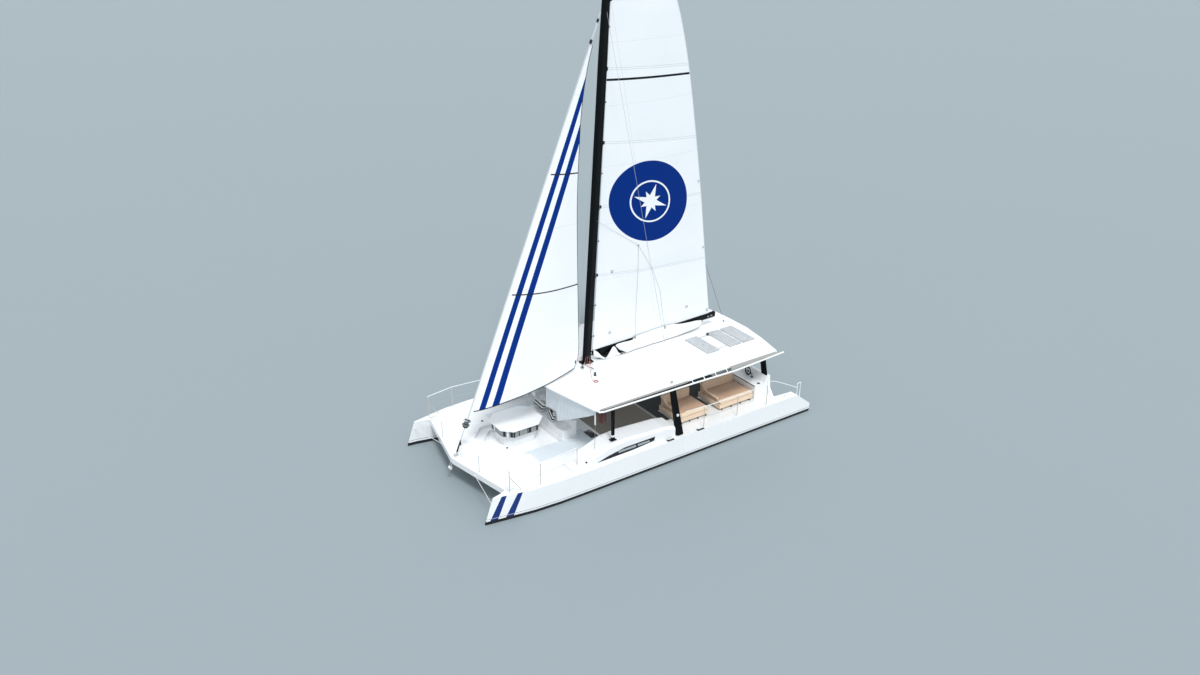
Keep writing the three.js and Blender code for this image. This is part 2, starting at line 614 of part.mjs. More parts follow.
// One row of a sail, from luff to leech at a given height. Both sails belly to port.
// Out is how far the leech stands to port, and a row can end short of it.
function sailRow({ front, back, z, draft, out = 0, end = back }) {
  return Array.from({ length: SAIL.columns + 1 }, (_, i) => {
    const x = mix(front, end, i / SAIL.columns);
    const t = (front - x) / (front - back);
    const belly = draft * (front - back) * Math.sin(Math.PI * Math.min(1, t ** 0.8));
    return v(x, belly + out * t, z);
  });
}

// A cloth of even thickness through rows of points. Both faces are split the same way,
// so that they stay side by side where the cloth twists.
function clothSolid(rows) {
  const columns = rows[0].length;
  const size = rows.length * columns;
  const positions = [SAIL.thick / 2, -SAIL.thick / 2].flatMap((offset) => (
    rows.flat().flatMap((point) => [point.x, point.y + offset, point.z])));
  const faces = [];
  for (let r = 0; r < rows.length - 1; r += 1) {
    for (let i = 0; i < columns - 1; i += 1) {
      const a = r * columns + i;
      const [b, c, d] = [a + 1, a + 1 + columns, a + columns];
      faces.push([a, b, c], [a, c, d], [a + size, c + size, b + size], [a + size, d + size, c + size]);
    }
  }
  const lastRow = (rows.length - 1) * columns;
  const across = Array.from({ length: columns - 1 }, (_, i) => i);
  const up = Array.from({ length: rows.length - 1 }, (_, r) => r * columns);
  const rim = [
    ...across, ...up.map((start) => start + columns - 1),
    ...across.map((i) => lastRow + columns - 1 - i), ...up.map((start) => lastRow - start),
  ];
  rim.forEach((i, k) => {
    const next = rim[(k + 1) % rim.length];
    faces.push([next, i, i + size], [next, i + size, next + size]);
  });
  const geometry = new THREE.BufferGeometry();
  geometry.setAttribute('position', new THREE.Float32BufferAttribute(positions, 3));
  geometry.setIndex(faces.flat());
  return solid(geometry);
}

const mainRows = leech.map(({ z, x }, i) => sailRow({
  front: luffX(z) - SAIL.luffGap, back: x, z, draft: i === 0 ? 0 : SAIL.draft,
}));
// The foot lies along the boom
for (const point of mainRows[0]) point.z = boomTop(point.x) + GAP;
addPiece('mainsail', clothSolid(mainRows), 'sailcloth');

// The stowage bag hangs from the boom on both sides
const BAG = { x0: 450, x1: -4700, drop: 300, wall: 22 };
const bagSide = (s) => {
  const ring = (x, drop, rise) => [
    v(x, s * (BOOM.wide / 2 + GAP), boomZ(x) + 90), v(x, s * (BOOM.wide / 2 + GAP), boomZ(x) - 90),
    v(x, s * (BOOM.wide / 2 + 60), boomZ(x) - drop), v(x, s * (BOOM.wide / 2 + 60 + BAG.wall), boomZ(x) - drop),
    v(x, s * (BOOM.wide / 2 + BAG.wall + 20), boomZ(x) + rise),
  ];
  return loft([ring(BAG.x0, 130, 180), ring(-600, BAG.drop, 160),
    ring(-2600, BAG.drop - 60, 150), ring(BAG.x1, 120, 120)], 'x');
};
for (const { label, s } of sides) addPiece(`sail_bag_${label}`, bagSide(s), 'sailcloth');

// Forestay with its furling drum, and the jib set on it

const HOUNDS_Z = 17180;
const FORESTAY = { footX: 7400, headZ: HOUNDS_Z, r: 22 };
FORESTAY.headX = mastX(HOUNDS_Z) + (MAST.chord / 2) * mastScale(HOUNDS_Z) + FORESTAY.r + 1;
const stayPoint = (z) => v(
  mix(FORESTAY.footX, FORESTAY.headX, (z - DECK_Z) / (FORESTAY.headZ - DECK_Z)), 0, z);
const drum = bar(stayPoint(2240), stayPoint(2290), 150, 16)
  .add(bar(stayPoint(2280), stayPoint(2420), 95, 16)).add(bar(stayPoint(2410), stayPoint(2450), 150, 16));
addPiece('furling_stay', join([
  block(FORESTAY.footX - 110, FORESTAY.footX + 60, -45, 45, DECK_Z + GAP, DECK_Z + 90),
  bar(stayPoint(DECK_Z + 50), stayPoint(FORESTAY.headZ), FORESTAY.r), drum,
]), 'aluminium');

const JIB = { clewX: 2010, clewY: 450, footDraft: 0.15 };
// The stay is an eight-sided bar, and the luff lies along its aft flat
const stayLean = Math.atan2(FORESTAY.footX - FORESTAY.headX, FORESTAY.headZ - DECK_Z);
const luffOffset = (FORESTAY.r * Math.cos(Math.PI / 8) + 2 * GAP) / Math.cos(stayLean);
const jibLuff = (z) => stayPoint(z).x - luffOffset;
// Rows of the foot, which rises aft over the front of the roof: height, end x
const jibFoot = [[2770, 6400], [2990, 5760], [3180, 5150], [3330, 4650], [3450, 4150], [3500, 3650]];
// Rows from the clew up: height, leech x, draft, how far the leech stands out
const jibLeech = [
  [3570, 2350, 0.15, 450], [4020, 1960, 0.14, 450], [6000, 1700, 0.12, 420], [10000, 1440, 0.1, 300],
  [13000, 1290, 0.07, 160], [14570, 1190, 0.04, 60],
];
const JIB_HEAD_Z = 16050;
const jibRows = [
  ...jibFoot.map(([z, end]) => sailRow({
    front: jibLuff(z), back: JIB.clewX, z, draft: JIB.footDraft, out: JIB.clewY, end,
  })),
  ...jibLeech.map(([z, back, draft, out]) => sailRow({ front: jibLuff(z), back, z, draft, out })),
  sailRow({ front: jibLuff(JIB_HEAD_Z), back: jibLuff(JIB_HEAD_Z) - 60, z: JIB_HEAD_Z, draft: 0 }),
];
addPiece('jib', clothSolid(jibRows), 'sailcloth');

// Curved track for the jib sheet across the roof, ahead of the mast
const TRACK = { x: 1680, half: 1450, bow: 290, high: 45, wide: 60 };
const trackRings = [-1, -0.5, 0, 0.5, 1].map((share) => {
  const y = share * TRACK.half;
  const x = TRACK.x - TRACK.bow * (1 - share * share) + TRACK.bow;
  const z = roofTop(y) + 3;
  return [v(x - TRACK.wide / 2, y, z), v(x + TRACK.wide / 2, y, z),
    v(x + TRACK.wide / 2, y, z + TRACK.high), v(x - TRACK.wide / 2, y, z + TRACK.high)];
});
addPiece('jib_track', loft(trackRings, 'y'), 'aluminium');

// Shrouds from the roof, over the middle posts, up to the mast
const SHROUD = { x: -560, y: 3370, headZ: HOUNDS_Z, r: 6 };
for (const { label, s } of sides) {
  const roofZ = roofTop(SHROUD.y - 12) + 1;
  const head = v(mastX(SHROUD.headZ) - 20, s * (MAST.half * mastScale(HOUNDS_Z) + SHROUD.r + 1), SHROUD.headZ);
  const plateTop = v(SHROUD.x, s * (SHROUD.y - 10), roofZ + 90);
  const chainplate = block(SHROUD.x - 60, SHROUD.x + 60, s * (SHROUD.y - 12), s * (SHROUD.y + 12),
    roofZ, roofZ + 120);
  addPiece(`shroud_${label}`, chainplate.add(bar(plateTop, head, SHROUD.r)), 'stainless');
}

// Sun beds under the roof, two a side, each with a back at its inboard end

const BED = { y0: 1600, y1: 3080, footZ: 100, baseTop: 300, seat: 160, backThick: 250, backHigh: 560 };
const beds = [{ name: 'forward', x0: -2840, x1: -1330 }, { name: 'aft', x0: -5290, x1: -3450 }];
for (const { label, s } of sides) {
  for (const { name, x0, x1 } of beds) {
    const z = DECK_Z + GAP;
    const feet = [x0 + 120, x1 - 120].flatMap((x) => [BED.y0 + 150, BED.y1 - 120].map((y) => (
      block(x - 30, x + 30, s * (y - 30), s * (y + 30), z, z + BED.footZ + 20))));
    const frame = block(x0, x1, s * BED.y0, s * (BED.y1 - 40), z + BED.footZ, z + BED.baseTop);
    addPiece(`bed_frame_${name}_${label}`, join([frame, ...feet]), 'upholstery');
    const base = z + BED.baseTop + GAP;
    const cushion = block(x0, x1, s * BED.y0, s * BED.y1, base, base + BED.seat)
      .add(block(x0, x1, s * BED.y0, s * (BED.y0 + BED.backThick), base + 20, base + BED.backHigh));
    addPiece(`bed_cushion_${name}_${label}`, cushion, 'upholstery');
  }
}

// Low wall across the aft end of the deck, with a bench before each end of it

const WALL = { x0: -6190, x1: -6060, half: 3090, flareZ: 1400, flare: 60, foot: 3420 };
const wallOutline = [
  [-WALL.foot, DECK_Z + GAP], [-WALL.half - WALL.flare, WALL.flareZ], [-WALL.half, AFT_WALL_TOP_Z],
  [WALL.half, AFT_WALL_TOP_Z], [WALL.half + WALL.flare, WALL.flareZ], [WALL.foot, DECK_Z + GAP],
];
const BENCH = { x1: -5340, topZ: 1700, backX: -5850, y0: 1500, y1: 3090 };
const benchProfile = [
  [WALL.x1 - 20, DECK_Z + GAP], [BENCH.x1, DECK_Z + GAP], [BENCH.x1, BENCH.topZ],
  [BENCH.backX, BENCH.topZ], [WALL.x1 + 50, AFT_WALL_TOP_Z], [WALL.x1 - 20, AFT_WALL_TOP_Z],
];
addPiece('aft_wall', join([
  loft([WALL.x0, WALL.x1].map((x) => wallOutline.map(([y, z]) => v(x, y, z))), 'x'),
  ...sides.map(({ s }) => sideProfile(benchProfile, s * BENCH.y0, s * BENCH.y1)),
]), 'gelcoat');

// Helm on the port bench: a block against the back of it, and a small wheel
const HELM = { y: 2120, z: 1900, wheelR: 168, wheelX: -5790, rimR: 17, half: 90 };
const backXAt = (z) => mix(BENCH.backX, WALL.x1 + 50, (z - BENCH.topZ) / (AFT_WALL_TOP_Z - BENCH.topZ));
const helmProfile = [
  [BENCH.backX + GAP + 1, BENCH.topZ + GAP], [HELM.wheelX - 30, BENCH.topZ + GAP],
  [HELM.wheelX - 30, HELM.z + 40], [backXAt(HELM.z + 40) + GAP + 1, HELM.z + 40],
];
addPiece('helm_console', sideProfile(helmProfile, HELM.y - HELM.half, HELM.y + HELM.half), 'gelcoat');
const rim = new THREE.TorusGeometry(HELM.wheelR, HELM.rimR, 8, 24);
rim.rotateY(Math.PI / 2);
rim.translate(HELM.wheelX, HELM.y, HELM.z);
const spokes = Array.from({ length: 3 }, (_, i) => {
  const angle = Math.PI / 2 + (i * 2 * Math.PI) / 3;
  const tip = v(HELM.wheelX, HELM.y + HELM.wheelR * Math.cos(angle), HELM.z + HELM.wheelR * Math.sin(angle));
  return bar(v(HELM.wheelX, HELM.y, HELM.z), tip, 9, 6);
});
addPiece('helm_wheel', join([solid(rim), ...spokes,
  bar(v(HELM.wheelX - 30 + 2 * GAP, HELM.y, HELM.z), v(HELM.wheelX + 20, HELM.y, HELM.z), 32, 12)]), 'blackCarbon');

// Guard rails: stainless tube with stanchions, bow and side, and a hoop at the stern

const RAIL_R = 16;
const railTop = DECK_Z + RAIL_HEIGHT;
const legTo = (s, [x, y, z = DECK_Z]) => bar(v(x, s * y, z + GAP), v(x, s * y, railTop), RAIL_R);
// The bow rail's last leg stands on the nose of the side trunk
const bowRoute = [[6900, 3430], [5700, 3640], [4000, 3500, TRUNK_NOSE_Z]];
const BOW_BRACE = { topZ: 1700, toX: 6450, toY: 3500 };
// The side rail runs from the middle post to the bench, past two stanchions
const sideRoute = [[-2050, 3700], [-3800, 3740]];
const SIDE_ENDS = { x0: -1140, y0: 3600, x1: -5450, y1: 3740 };
// The stern hoop stands where the deck slopes down to the transom
const STERN_HOOP = { x: -7560, y: 3600, long: 180, topZ: 1440 };
const slopeZ = (x) => mix(DECK_Z, TRANSOM_TOP_Z, (x - DECK_END_X) / (STERN_X - DECK_END_X));
for (const { label, s } of sides) {
  const bowTop = bentBar(bowRoute.map(([x, y]) => v(x, s * y, railTop)), RAIL_R);
  const brace = bar(v(bowRoute[0][0], s * bowRoute[0][1], BOW_BRACE.topZ),
    v(BOW_BRACE.toX, s * BOW_BRACE.toY, DECK_Z + GAP + 8), RAIL_R * 0.8);
  addPiece(`bow_rail_${label}`, join([bowTop, brace, ...bowRoute.map((leg) => legTo(s, leg))]), 'stainless');

  const sideTop = bentBar([
    v(SIDE_ENDS.x0, s * SIDE_ENDS.y0, railTop), ...sideRoute.map(([x, y]) => v(x, s * y, railTop)),
    v(SIDE_ENDS.x1, s * SIDE_ENDS.y1, railTop), v(SIDE_ENDS.x1, s * SIDE_ENDS.y1, DECK_Z + GAP),
  ], RAIL_R);
  addPiece(`side_rail_${label}`, join([sideTop, ...sideRoute.map((leg) => legTo(s, leg))]), 'stainless');

  const [hoopAft, hoopFront] = [STERN_HOOP.x, STERN_HOOP.x + STERN_HOOP.long].map((x) => [
    v(x, s * STERN_HOOP.y, slopeZ(x + RAIL_R) + GAP), v(x, s * STERN_HOOP.y, STERN_HOOP.topZ),
  ]);
  addPiece(`stern_hoop_${label}`, bentBar([hoopAft[0], hoopAft[1], hoopFront[1], hoopFront[0]], RAIL_R),
    'stainless');
}

export default boat;
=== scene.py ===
import bpy, bmesh, math, random
from mathutils import Matrix, Quaternion, Vector, noise


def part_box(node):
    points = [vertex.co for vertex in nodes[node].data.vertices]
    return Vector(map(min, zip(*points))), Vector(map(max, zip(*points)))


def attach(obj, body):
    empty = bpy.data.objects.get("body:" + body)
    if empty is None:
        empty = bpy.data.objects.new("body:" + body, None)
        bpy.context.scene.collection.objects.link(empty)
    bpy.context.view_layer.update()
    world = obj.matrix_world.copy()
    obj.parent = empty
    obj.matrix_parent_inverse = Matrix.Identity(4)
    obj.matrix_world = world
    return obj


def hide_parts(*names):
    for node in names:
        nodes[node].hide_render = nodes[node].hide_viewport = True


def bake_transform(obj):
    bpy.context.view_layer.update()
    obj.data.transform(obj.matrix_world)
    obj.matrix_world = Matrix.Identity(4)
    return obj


# Sailing catamaran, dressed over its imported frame. Metres, +X to the bows, +Y to port, +Z up.
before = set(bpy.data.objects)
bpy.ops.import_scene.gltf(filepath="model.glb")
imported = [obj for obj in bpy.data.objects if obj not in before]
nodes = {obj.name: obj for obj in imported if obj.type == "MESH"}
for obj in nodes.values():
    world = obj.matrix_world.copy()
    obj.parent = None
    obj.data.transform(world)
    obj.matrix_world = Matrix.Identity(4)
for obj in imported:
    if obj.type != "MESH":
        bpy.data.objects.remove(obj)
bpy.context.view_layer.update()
random.seed(11)
sides = (("port", 1), ("starboard", -1))
print("frame loaded")


# Small helpers

def mixed(a, b, share):
    return a + (b - a) * share


def clamped(value, low=0.0, high=1.0):
    return max(low, min(high, value))


def alongKnots(knots, place):  # smooth curve through (place, value) knots
    knots = sorted(knots)
    last = len(knots) - 1
    if place <= knots[0][0]:
        return knots[0][1]
    if place >= knots[last][0]:
        return knots[last][1]
    i = next(k for k in range(last) if knots[k + 1][0] >= place)

    def slope(k):
        before, after = knots[max(k - 1, 0)], knots[min(k + 1, last)]
        return (after[1] - before[1]) / (after[0] - before[0])

    (x0, y0), (x1, y1) = knots[i], knots[i + 1]
    width = x1 - x0
    t = (place - x0) / width
    return ((2 * t ** 3 - 3 * t ** 2 + 1) * y0 + (t ** 3 - 2 * t ** 2 + t) * width * slope(i)
            + (3 * t ** 2 - 2 * t ** 3) * y1 + (t ** 3 - t ** 2) * width * slope(i + 1))


def roundedRoute(points, perSpan=6):  # a smooth route through a few points
    lengths = [0.0]
    for a, b in zip(points, points[1:]):
        lengths.append(lengths[-1] + (Vector(b) - Vector(a)).length)
    count = perSpan * (len(points) - 1)
    axes = [[(s, p[axis]) for s, p in zip(lengths, points)] for axis in range(3)]
    return [Vector([alongKnots(axis, lengths[-1] * i / count) for axis in axes]) for i in range(count + 1)]


def straightRoute(a, b, count):
    return [a.lerp(b, i / count) for i in range(count + 1)]


def saggingRoute(a, b, sag, count=16):
    return [place - Vector((0, 0, 4 * sag * (i / count) * (1 - i / count)))
            for i, place in enumerate(straightRoute(a, b, count))]


def ordered(a, b):  # the low and the high one, for a box on either side of the boat
    return (a, b) if a <= b else (b, a)


# Mesh helpers, all on bmesh operators

def finishPiece(name, bm, body, looks, sharp=35, recalculate=True):
    if recalculate:
        bmesh.ops.recalc_face_normals(bm, faces=bm.faces[:])
    mesh = bpy.data.meshes.new(name)
    bm.to_mesh(mesh)
    bm.free()
    for polygon in mesh.polygons:
        polygon.use_smooth = True
    mesh.set_sharp_from_angle(angle=math.radians(sharp))
    for look in (looks if isinstance(looks, (list, tuple)) else [looks]):
        mesh.materials.append(look)
    piece = bpy.data.objects.new(name, mesh)
    bpy.context.scene.collection.objects.link(piece)
    if body:
        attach(piece, body)
    return piece


def addBox(bm, low, high, round=0.0, segments=2, paint=0, turn=None):
    low, high = Vector(low), Vector(high)
    made = bmesh.ops.create_cube(bm, size=1.0)["verts"]
    middle, size = (low + high) / 2, high - low
    bmesh.ops.transform(bm, matrix=Matrix.Diagonal((*size, 1)), verts=made)
    if round > 0:
        edges = list({edge for vert in made for edge in vert.link_edges})
        result = bmesh.ops.bevel(bm, geom=edges, offset=round, segments=segments, profile=0.5,
                                 affect="EDGES", material=-1, clamp_overlap=True)
        made = list({vert for face in result["faces"] for vert in face.verts}
                    | {vert for vert in made if vert.is_valid})
    if turn is not None:
        bmesh.ops.transform(bm, matrix=turn.to_4x4(), verts=made)
    bmesh.ops.translate(bm, vec=middle, verts=made)
    for face in {face for vert in made for face in vert.link_faces}:
        face.material_index = paint
    return made


def addBar(bm, a, b, radius, endRadius=None, segments=12, paint=0, round=0.0):
    a, b = Vector(a), Vector(b)
    along = b - a
    place = Matrix.Translation((a + b) / 2) @ Vector((0, 0, 1)).rotation_difference(along).to_matrix().to_4x4()
    made = bmesh.ops.create_cone(bm, cap_ends=True, segments=segments, radius1=radius,
                                 radius2=radius if endRadius is None else endRadius,
                                 depth=along.length, matrix=place)["verts"]
    if round > 0:
        rims = [edge for edge in {edge for vert in made for edge in vert.link_edges}
                if abs((edge.verts[0].co - edge.verts[1].co).normalized().dot(along.normalized())) < 0.2]
        bmesh.ops.bevel(bm, geom=rims, offset=round, segments=2, profile=0.5, affect="EDGES", material=-1)
    if paint:
        for face in {face for vert in made if vert.is_valid for face in vert.link_faces}:
            face.material_index = paint
    return made


def addBall(bm, middle, radius, stretch=(1, 1, 1), segments=12, paint=0):
    place = Matrix.Translation(middle) @ Matrix.Diagonal((*stretch, 1))
    made = bmesh.ops.create_uvsphere(bm, u_segments=segments, v_segments=max(6, segments // 2),
                                     radius=radius, matrix=place)["verts"]
    for face in {face for vert in made for face in vert.link_faces}:
        face.material_index = paint
    return made


def addRing(bm, middle, axis, radius, thick, segments=24, sides=8, sweep=2 * math.pi, paint=0):
    axis = Vector(axis).normalized()
    out = axis.orthogonal().normalized()
    place = Matrix.Translation(Vector(middle) + out * radius)
    turn = Vector((0, 0, 1)).rotation_difference(axis.cross(out)).to_matrix().to_4x4()
    made = bmesh.ops.create_circle(bm, segments=sides, radius=thick, matrix=place @ turn)["verts"]
    edges = list({edge for vert in made for edge in vert.link_edges})
    full = abs(sweep - 2 * math.pi) < 1e-6
    spun = bmesh.ops.spin(bm, geom=edges, cent=Vector(middle), axis=axis, angle=sweep,
                          steps=segments, use_merge=full)
    faces = {face for edge in edges if edge.is_valid for face in edge.link_faces}
    faces |= {face for item in spun["geom_last"] if isinstance(item, bmesh.types.BMEdge) and item.is_valid
              for face in item.link_faces}
    for face in bm.faces:
        if face in faces:
            face.material_index = paint


def addTube(bm, route, radius, sides=8, paint=0):  # a round tube on a curve, turned into mesh
    curve = bpy.data.curves.new("route", "CURVE")
    curve.dimensions = "3D"
    curve.bevel_depth = radius
    curve.bevel_resolution = max(0, (sides - 4) // 2)
    curve.use_fill_caps = True
    spline = curve.splines.new("POLY")
    spline.points.add(len(route) - 1)
    for point, place in zip(spline.points, route):
        point.co = (*place, 1)
    holder = bpy.data.objects.new("route", curve)
    bpy.context.scene.collection.objects.link(holder)
    bpy.context.view_layer.update()
    mesh = bpy.data.meshes.new_from_object(holder.evaluated_get(bpy.context.evaluated_depsgraph_get()))
    for polygon in mesh.polygons:
        polygon.material_index = paint
    before = len(bm.verts)
    bm.from_mesh(mesh)
    bm.verts.ensure_lookup_table()
    bmesh.ops.remove_doubles(bm, verts=bm.verts[before:], dist=radius * 0.01)
    bpy.data.objects.remove(holder)
    bpy.data.curves.remove(curve)
    bpy.data.meshes.remove(mesh)


def clothMesh(place, across, up, thick, size=None, facing=0):
    # A grid laid through place(u, v), with thickness. Facing says which way in y its outer face looks.
    bm = bmesh.new()
    bmesh.ops.create_grid(bm, x_segments=across, y_segments=up, size=0.5)
    layer = bm.loops.layers.uv.new("cloth")
    for face in bm.faces:
        for loop in face.loops:
            u, v = loop.vert.co.x + 0.5, loop.vert.co.y + 0.5
            loop[layer].uv = size(u, v) if size else (u, v)
    for vert in bm.verts:
        vert.co = place(vert.co.x + 0.5, vert.co.y + 0.5)
    bmesh.ops.recalc_face_normals(bm, faces=bm.faces[:])
    area = sum(face.calc_area() for face in bm.faces)
    if sum(face.normal.y * face.calc_area() for face in bm.faces) * facing < 0:
        bmesh.ops.reverse_faces(bm, faces=bm.faces[:])
    outer = set(bm.faces)
    bmesh.ops.solidify(bm, geom=bm.faces[:], thickness=thick)
    for face in bm.faces:
        face.material_index = 0 if face in outer else 1
    return bm, area


def hitOn(name, start, way):  # where a straight line first meets a carried node
    met, place = nodes[name].ray_cast(Vector(start), Vector(way))[:2]
    if not met:
        raise ValueError("no surface of " + name + " from " + str(start))
    return place


def roofAt(x, y, lift=0.0):  # a place on the hardtop, or a little above it
    return hitOn("hardtop_roof", (x, y, 6), (0, 0, -1)) + Vector((0, 0, lift))


def addTurned(bm, base, profile, axis=(0, 0, 1), segments=20, paint=0):  # (radius, height) turned on a lathe
    way = Vector((0, 0, 1)).rotation_difference(Vector(axis)).to_matrix()
    start = len(bm.faces)
    verts = [bmesh.ops.create_vert(bm, co=Vector(base) + way @ Vector((radius, 0, height)))["vert"][0]
             for radius, height in profile]
    edges = [bmesh.ops.contextual_create(bm, geom=[a, b])["edges"][0] for a, b in zip(verts, verts[1:])]
    spun = bmesh.ops.spin(bm, geom=verts + edges, cent=Vector(base), axis=way @ Vector((0, 0, 1)),
                          angle=2 * math.pi, steps=segments, use_merge=True)
    bm.faces.ensure_lookup_table()
    made = bm.faces[start:]
    for face in made:
        face.material_index = paint
    bmesh.ops.remove_doubles(bm, verts=list({vert for face in made for vert in face.verts}), dist=1e-5)


def cellSheet(xs, ys, z, thick, keep):  # a flat mat of grid cells, some of them left out
    bm = bmesh.new()
    grid = [[bmesh.ops.create_vert(bm, co=(x, y, z))["vert"][0] for y in ys] for x in xs]
    for i in range(len(xs) - 1):
        for j in range(len(ys) - 1):
            if keep((xs[i] + xs[i + 1]) / 2, (ys[j] + ys[j + 1]) / 2):
                corners = [grid[i][j], grid[i + 1][j], grid[i + 1][j + 1], grid[i][j + 1]]
                bmesh.ops.contextual_create(bm, geom=corners)
    bmesh.ops.delete(bm, geom=[vert for vert in bm.verts if not vert.link_faces], context="VERTS")
    area = sum(face.calc_area() for face in bm.faces)
    bmesh.ops.recalc_face_normals(bm, faces=bm.faces[:])
    bmesh.ops.solidify(bm, geom=bm.faces[:], thickness=thick)
    return bm, area


def mirrored(bm):  # the same piece on the other side of the boat
    twin = bm.copy()
    bmesh.ops.scale(twin, vec=(1, -1, 1), verts=twin.verts[:])
    bmesh.ops.reverse_faces(twin, faces=twin.faces[:])
    return twin


# Materials

def linearColour(hexColour):
    parts = [int(hexColour[i:i + 2], 16) / 255 for i in (1, 3, 5)]
    return (*[c / 12.92 if c <= 0.04045 else ((c + 0.055) / 1.055) ** 2.4 for c in parts], 1.0)


def startMaterial(name, hexColour, roughness, metallic=0.0, **sockets):
    material = bpy.data.materials.new(name)
    material.use_nodes = True
    tree = material.node_tree
    shader = tree.nodes["Principled BSDF"]
    shader.inputs["Base Color"].default_value = linearColour(hexColour)
    shader.inputs["Roughness"].default_value = roughness
    shader.inputs["Metallic"].default_value = metallic
    for socket, value in sockets.items():
        shader.inputs[socket.replace("_", " ")].default_value = value
    material.diffuse_color = linearColour(hexColour)
    return material, tree, shader


def addNode(tree, kind, inputs=None, **settings):  # inputs hold numbers, hex colours, nodes or sockets
    node = tree.nodes.new("ShaderNode" + kind)
    for key, value in settings.items():
        setattr(node, key, value)
    for socket, value in (inputs or {}).items():
        if isinstance(value, bpy.types.Node):
            value = next(output for output in value.outputs if output.enabled)
        if isinstance(value, bpy.types.NodeSocket):
            tree.links.new(value, node.inputs[socket])
        else:
            node.inputs[socket].default_value = linearColour(value) if isinstance(value, str) else value
    return node


def objectPlace(tree):  # the piece's own coordinates, in metres, whole and apart
    place = addNode(tree, "TexCoord").outputs["Object"]
    return place, addNode(tree, "SeparateXYZ", {0: place}).outputs


def waveScale(pitch):  # scale of a wave texture whose bands lie pitch mm apart
    return 1000 / pitch / 6.28


def finishSurface(tree, shader, place, colour=None, patchSize=900, patchShare=0.05, roughness=(0.2, 0.3),
                  bumpSize=60, bumpDepth=0.0008, height=None, heightDepth=0.001):
    # Colour drifts over patchSize mm, roughness with it, and fine relief has a bumpSize mm grain
    patch = addNode(tree, "TexNoise", {"Vector": place, "Scale": 1000 / patchSize, "Detail": 4.0})
    drift = {"From Min": 0.3, "From Max": 0.7}
    shade = addNode(tree, "MapRange", {"Value": patch, **drift, "To Min": 1 - patchShare, "To Max": 1.0})
    plain = shader.inputs["Base Color"].default_value[:]
    tone = addNode(tree, "Mix", {0: 1.0, 6: plain if colour is None else colour, 7: shade},
                   data_type="RGBA", blend_type="MULTIPLY")
    tree.links.new(tone.outputs[2], shader.inputs["Base Color"])
    polish = addNode(tree, "MapRange", {"Value": patch, **drift, "To Min": roughness[0], "To Max": roughness[1]})
    tree.links.new(polish.outputs[0], shader.inputs["Roughness"])
    grain = addNode(tree, "TexNoise", {"Vector": place, "Scale": 1000 / bumpSize, "Detail": 3.0})
    bump = addNode(tree, "Bump", {"Height": grain.outputs["Fac"], "Strength": 0.5, "Distance": bumpDepth})
    if height is not None:
        bump = addNode(tree, "Bump", {"Height": height, "Normal": bump, "Strength": 0.8, "Distance": heightDepth})
    tree.links.new(bump.outputs[0], shader.inputs["Normal"])


def anyOf(tree, masks):  # 1 where any of the masks is 1
    total = None
    for mask in masks:
        total = mask if total is None else addNode(tree, "Math", {0: total, 1: mask}, operation="MAXIMUM")
    return total


def lineMask(tree, value, centres, half):  # 1 inside any of the bands along a value
    return anyOf(tree, (addNode(tree, "Math", {0: value, 1: centre, 2: half}, operation="COMPARE")
                        for centre in centres))


looks = {}

# Polyester gelcoat, moulded and polished: hard white gloss with a long soft waviness
gelcoatSettings = {"white": "#F4F6F7", "skid": "#F1F3F4", "antifouling": "#111417", "lowLine": "#A9B0B5",
                   "walk": "#DCE4EA", "rib": "#CAD3DA", "stripes": "#022B76",
                   "diamond": 30, "padLong": 1.5, "padWide": 0.9, "padGap": 0.03,
                   "walkY": (1.62, 0.66), "walkX": (3.55, 1.35), "ribPitch": 0.06, "ribGap": 0.008,
                   "outboardY": 3.43, "bandCentres": (7.695, 7.092), "bandHalf": 0.16, "bandLean": 0.5,
                   "bandTaper": 0.06, "lineZ": 0.21, "lineHalf": 0.012, "wetZ": 0.13}


